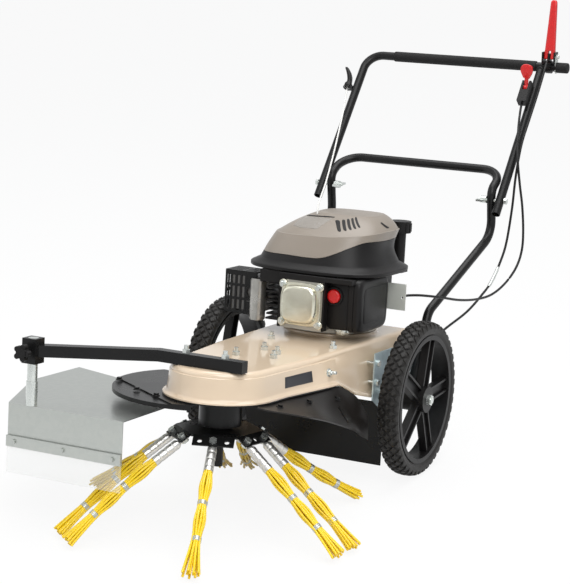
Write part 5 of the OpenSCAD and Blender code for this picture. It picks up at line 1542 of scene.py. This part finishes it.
@dataclass
class Controls:
    """Clutch lever, throttle lever and starter grip on the upper handle, with the plated hardware by them."""

    shop: Workshop
    bar: tuple[float, float] = (0.7768, 0.8683)
    lever_x: float = 0.266
    lever_up: float = 0.027
    lean: float = math.radians(7.0)
    ear_half: float = 0.0033
    cheek_out: float = 0.0135
    throttle_s: float = 0.317
    throttle_pivot: tuple[float, float, float] = (-0.013, -0.025, 0.008)
    throttle_tilt: float = math.radians(-45.0)
    paddle: tuple[tuple[float, float, float], ...] = (
        (7, -24, 0), (15.5, -40, 0), (14, -56, 0), (2, -61, 0), (-11, -59, 0), (-16, -45, 0), (-7, -24, 0))
    adjuster_z: tuple[float, float] = (0.352, 0.398)
    guide_s: float = 0.300
    grip_at: tuple[float, float, float] = (-0.027, 0.0, 0.0135)
    grip_lean: float = 9.0

    def on_leg(self, points: Array, side: float, s: float) -> Array:
        """Turns points of a leg's frame by the leg's rise and carries them into the row's frame.

        Args:
            points: Points with z along the leg.
            side: 1 for the machine's left leg, -1 for its right.
            s: Distance along the leg from the fold.

        Returns:
            The points in the row's frame.
        """
        p = np.asarray(points, float)
        c, d = math.sin(LEG_RISE), math.cos(LEG_RISE)
        y, z = p[..., 1], p[..., 2] + s
        depth, height = HANDLE_FOLD[0] + y * c + z * d, HANDLE_FOLD[1] - y * d + z * c
        return machine(np.stack([p[..., 0] + side * LEG_X, depth, height], -1))

    def clutch_lever(self) -> None:
        """Blade that tapers to a rounded tip over two cheeks that straddle the bracket's ear."""
        blade = ((0.0145, 0.0128, 0.0064, 5), (0.0150, 0.0134, 0.0070, 5), (0.030, 0.0127, 0.0068, 5),
                 (0.080, 0.0106, 0.0060, 4.5), (0.132, 0.0086, 0.0054, 4), (0.1395, 0.0080, 0.0050, 3.5),
                 (0.1432, 0.0062, 0.0040, 3), (0.1449, 0.0030, 0.0020, 2.5))
        wide = (self.cheek_out - self.ear_half) / 2
        mid = self.ear_half + wide
        cheek = ((-0.0070, wide * 0.7, 0.0050, 4), (-0.0050, wide, 0.0070, 5), (0.0146, wide, 0.0070, 5))
        c, s = math.cos(self.lean), math.sin(self.lean)
        skins: list[Skin] = []
        for rows, across, count in ((blade, 0.0, 36), (cheek, -mid, 28), (cheek, mid, 28)):
            rings = stack(Axis.UP, [(h, a, b, across, 0, square) for h, a, b, square in rows], count)
            y, z = rings[..., 1], rings[..., 2]
            height = -y * s + z * c + self.bar[1] + self.lever_up
            placed = np.stack([rings[..., 0] + self.lever_x, y * c + z * s + self.bar[0], height], -1)
            skins.append(skin(machine(placed)))
        place = machine((self.lever_x - 0.0131, self.bar[0], self.bar[1] + self.lever_up))
        shank = [(0.0022, -0.0008), (0.0030, 0.0), (0.0030, 0.0262), (0.0022, 0.0270)]
        skins.append(skin(turned(shank, 20, place, (1, 0, 0))))
        self.shop.piece("clutch_blade", skins, RED, ["clutch_lever"], "clutch_lever", sharp=40)

    def throttle_lever(self) -> None:
        """Paddle with a softened outline on a flat stem and a short hub."""
        outline = smooth_line(self.paddle, 6)[:-1, :2] / MM_PER_M
        middle = outline.mean(0)
        levels = ((-0.0040, 0.86), (-0.0032, 0.97), (-0.0020, 1.0),
                  (0.0020, 1.0), (0.0032, 0.97), (0.0040, 0.86))
        paddle = np.stack([np.column_stack([middle + (outline - middle) * k, np.full(len(outline), h)])
                           for h, k in levels])[:, ::-1]
        stem = stack(Axis.FRONT, [(-0.0045, 0.0050, 0.0025, 0, 0, 5), (-0.0300, 0.0050, 0.0025, 0, 0, 5)], 32)
        c, s = math.cos(self.throttle_tilt), math.sin(self.throttle_tilt)
        pivot = np.asarray(self.throttle_pivot)
        parts = []
        for r in (paddle, stem):
            y, z = r[..., 1], r[..., 2]
            parts.append(np.stack([r[..., 0], y * c - z * s, y * s + z * c], -1) + pivot)
        hub = [(0.0073, -0.0060), (0.0080, -0.0052), (0.0080, 0.0052), (0.0073, 0.0060)]
        pin = [(0.0015, -0.0090), (0.0020, -0.0085), (0.0020, 0.0085), (0.0015, 0.0090)]
        parts += [turned(profile, count, pivot, (1, 0, 0)) for profile, count in ((hub, 32), (pin, 16))]
        skins = [skin(self.on_leg(r, 1.0, self.throttle_s)) for r in parts]
        self.shop.piece("throttle_tab", skins, RED, ["throttle_lever"], "throttle_lever", sharp=40)

    def lever_plate(self) -> None:
        """Plated side plate of the lever bracket with its bolt, and the adjuster on the clutch cable."""
        by, bz = self.bar
        rows = ((0.0183, 0.0100, 0.0230), (0.0194, 0.0100, 0.0230), (0.0198, 0.0094, 0.0224))
        rings = stack(Axis.LEFT, [(x, a, b, by, bz + 0.007, 5) for x, a, b in rows], 40)
        plate = skin(machine(rings + np.array([self.lever_x, 0.0, 0.0])))
        place = machine((self.lever_x + 0.0197, by, bz + self.lever_up))
        bolt = hex_bolt(place, np.array([1.0, 0.0, 0.0]), 0.0052, 0.0040, 0.0070)
        self.shop.piece("lever_side_plate", [plate, *bolt], ZINC, (), "upper_handle", sharp=40)
        line = CLUTCH_RUN.line()
        line = line[(line[:, 2] > self.adjuster_z[0]) & (line[:, 2] < self.adjuster_z[1])]
        radius = np.full(len(line), 0.0044)
        radius[[0, -1]] = 0.0034
        self.shop.piece("cable_adjuster", [skin(sweep(line, radius, CORD_FACING, 16))], ZINC, sharp=40)

    def starter_grip(self) -> None:
        """Curved pull handle that leans out with the square of its height over a round foot."""
        at = [(-0.0110, 0.0085, 0.0085, 0.0), (-0.0095, 0.0098, 0.0100, 0.0), (-0.002, 0.0098, 0.0100, 0.0004),
              (0.004, 0.0062, 0.0080, 0.001), (0.012, 0.0060, 0.0090, 0.0008), (0.024, 0.0066, 0.0100, 0.0),
              (0.036, 0.0064, 0.0098, -0.0006), (0.044, 0.0056, 0.0080, -0.0012),
              (0.0485, 0.0042, 0.0052, -0.0014), (0.0500, 0.0020, 0.0024, -0.0015)]
        rings = stack(Axis.UP, [(z, a, b, -self.grip_lean * max(z, 0.0) ** 2, y, 3.2) for z, a, b, y in at], 36)
        grip = skin(self.on_leg(rings + np.array(self.grip_at), -1.0, self.guide_s))
        self.shop.piece("starter_pull", [grip], BLACK_PLASTIC, ["starter_grip"], "starter_grip", sharp=40)

    def build(self) -> None:
        """Makes the three controls and the plated hardware by them."""
        self.clutch_lever()
        self.lever_plate()
        self.throttle_lever()
        self.starter_grip()


@dataclass
class Trim:
    """Small hardware: bare plate and bolt on the deck's wall, dark bolts on the skirt and the front shield."""

    shop: Workshop
    pressing: PressedDeck
    plate_y: tuple[float, float] = (-0.431, -0.329)
    plate_level: tuple[float, float] = (0.26, 0.62)
    bolt_y: float = -0.2652
    bolt_level: float = 0.43
    bolt_axis: tuple[float, float, float] = (0.985, -0.10, 0.14)
    skirt_bolts: tuple[tuple[float, float, float], ...] = (
        (0.1433, -0.4948, 0.0503), (0.1532, -0.3757, 0.0419), (0.1683, -0.2653, 0.0318))
    skirt_axis: tuple[float, float, float] = (0.25, 0.0, 0.97)
    shield_bolts: tuple[tuple[float, float], ...] = ((-0.248, -0.012), (-0.165, -0.075), (-0.103, -0.098))
    shield_top: float = 0.0555

    def wall(self, y: Array, level: Array, out: float) -> Array:
        """Points on the deck's left wall.

        Args:
            y: Depth along the deck.
            level: Share of the way up the wall.
            out: How far the points are moved out.

        Returns:
            The points in the row's frame.
        """
        inset = np.interp(level, [0.16, 0.50, 0.80], [0.0070, 0.0040, 0.0018])
        x = self.pressing.half(y, level) - inset + out
        return deck(np.stack([x, y, self.pressing.rim(y) * (1 - level) + DECK_TOP * level], -1))

    def plate(self) -> None:
        """Thin dark plate that follows the wall, with eased edges."""
        u, v = np.meshgrid(np.linspace(0, 1, 25), np.linspace(0, 1, 9))
        y = self.plate_y[0] + (self.plate_y[1] - self.plate_y[0]) * u
        level = self.plate_level[0] + (self.plate_level[1] - self.plate_level[0]) * v
        edge = np.minimum(np.minimum(u, 1 - u) * 4, np.minimum(v, 1 - v))
        lift = (0.0004 + 0.0008 * np.clip(edge / 0.05, 0, 1))[..., None]
        face = self.wall(y, level, 0.0) + np.array([1.0, 0.0, 0.25]) * lift
        self.shop.piece("side_plate", [sheet(face, self.wall(y, level, -0.0008))], PLATE_DARK, sharp=50)

    def bolts(self) -> None:
        """Bolt through the deck's wall with its threaded end, and dark bolts on skirt and front shield."""
        place = self.wall(np.array(self.bolt_y), np.array(self.bolt_level), 0.0)
        bolt = hex_bolt(place, facing(self.bolt_axis), 0.0070, 0.0055, 0.0095, 0.013)
        self.shop.piece("wall_bolt", bolt, ZINC, sharp=30)
        skins: list[Skin] = []
        for p in self.skirt_bolts:
            skins += hex_bolt(deck(p), facing(self.skirt_axis), 0.0062, 0.0045, 0.0085)
        for x, y in self.shield_bolts:
            skins += hex_bolt(deck((x, SPINDLE_Y + y, self.shield_top)), DECK_UP, 0.0058, 0.0042, 0.0080)
        self.shop.piece("skirt_bolts", skins, BLACK_COAT, sharp=30)

    def build(self) -> None:
        """Makes plate and bolts."""
        self.plate()
        self.bolts()


@dataclass
class Skirt:
    """Curved sheet at the machine's left, from the shield down to the wheel, with one slot.

    Attributes:
        edges: Depth, then place across and height of the inner and of the outer edge, in millimetres.
        slot_y: Ends of the slot along the sheet, in millimetres.
        slot: Ends of the slot as shares of the way across.
    """

    shop: Workshop
    top: float = 0.0554
    thick: float = 0.003
    edges: tuple[tuple[float, ...], ...] = (
        (-304, 118, 0, 138, -2), (-250, 116, 0, 203, -16), (-154, 128, 0, 208, -42), (-54, 146, 0, 212, -74),
        (0, 156, 0, 210, -94), (46, 184, -26, 206, -114), (86, 200, -76, 202, -128))
    slot_y: tuple[float, float] = (-36.5, -23.5)
    slot: tuple[float, float] = (0.45, 0.86)

    def grid(self, y: Array, f: Array) -> Array:
        """Points of the sheet: edges listed and smoothed along the machine, straight across.

        Args:
            y: Depths along the sheet in millimetres.
            f: Shares of the way across, in one row.

        Returns:
            Grid of points of the deck's frame.
        """
        knots = np.asarray(self.edges)
        fine = [smooth_line([(a, b, 0) for a, b in knots[:, [0, i]]], 8) for i in range(1, 5)]
        xi, zi, xo, zo = (np.interp(y, line[:, 0], line[:, 1])[:, None] for line in fine)
        x = xi * (1 - f) + xo * f
        z = zi * (1 - f) + zo * f
        row = np.broadcast_to(y[:, None], x.shape)
        return np.stack([x / MM_PER_M, row / MM_PER_M + ARCH_Y, z / MM_PER_M + self.top], -1)

    def build(self) -> None:
        """Lays the sheet in four panels round the slot."""
        lo, hi = self.slot_y
        a, b = self.slot
        front, rear = self.edges[0][0], self.edges[-1][0]
        panels = ((front, lo, 0, 1, 40), (lo, hi, 0, a, 6), (lo, hi, b, 1, 6), (hi, rear, 0, 1, 24))
        skins: list[Skin] = []
        for y0, y1, f0, f1, n in panels:
            upper = self.grid(np.linspace(y0, y1, n), np.linspace(f0, f1, 17)[None])[::-1]
            skins.append(sheet(deck(upper), deck(upper - np.array([0.0, 0.0, self.thick]))))
        self.shop.piece("skirt_sheet", skins, SKIRT_COAT, ["side_skirt"], sharp=40)


def dress_frame(shop: Workshop) -> None:
    """Gives every node of the frame that no piece replaces its finish."""
    shop.dress(BLACK_COAT, "base_plate", "front_shield", "rear_apron", "spindle_housing", "guard_arm",
               "spindle", "rotor_plate", "handle_brackets")
    shop.dress(BLUE_ZINC, "axle_brackets")
    shop.dress(PALE_METAL, "control_plate")
    shop.dress(ZINC, "axle", "fasteners", "spindle_bearings", "crankshaft", "rotor_bolts", "idler_arm",
               "guard_post", "engine_pulley", "rotor_pulley", "knob_left", "knob_right")
    shop.dress(SHEET_ZINC, "guard_plate", "flap_strip")
    shop.dress(CAST, "crankcase", "flywheel")
    shop.dress(DARK_STEEL, "muffler")
    shop.dress(BLACK_PLASTIC, "fuel_tank", "throttle_housing", "guard_knob", "fuel_cap", "idler_pulley",
               "rim_left", "rim_right")
    shop.dress(RUBBER, "drive_belt")
    shop.dress(CLEAR, "clear_flap")
    shop.dress(FILTER, "air_filter")


def main() -> None:
    """Builds each sub-assembly in order and logs how many pieces were made."""
    logging.basicConfig(level=logging.INFO, format="%(name)s %(message)s")
    shop = Workshop(frame["nodes"])
    Studio().build()
    Cords(shop).build()
    dress_frame(shop)
    BrushSet(shop).build()
    Handles(shop).build()
    pressing = PressedDeck(shop)
    pressing.build()
    Cowl(shop).build()
    Tyre(shop).build()
    EngineFront(shop).build()
    Controls(shop).build()
    Trim(shop, pressing).build()
    Skirt(shop).build()
    LOG.info("%d pieces made", len(shop.made))


if __name__ == "__main__":
    main()
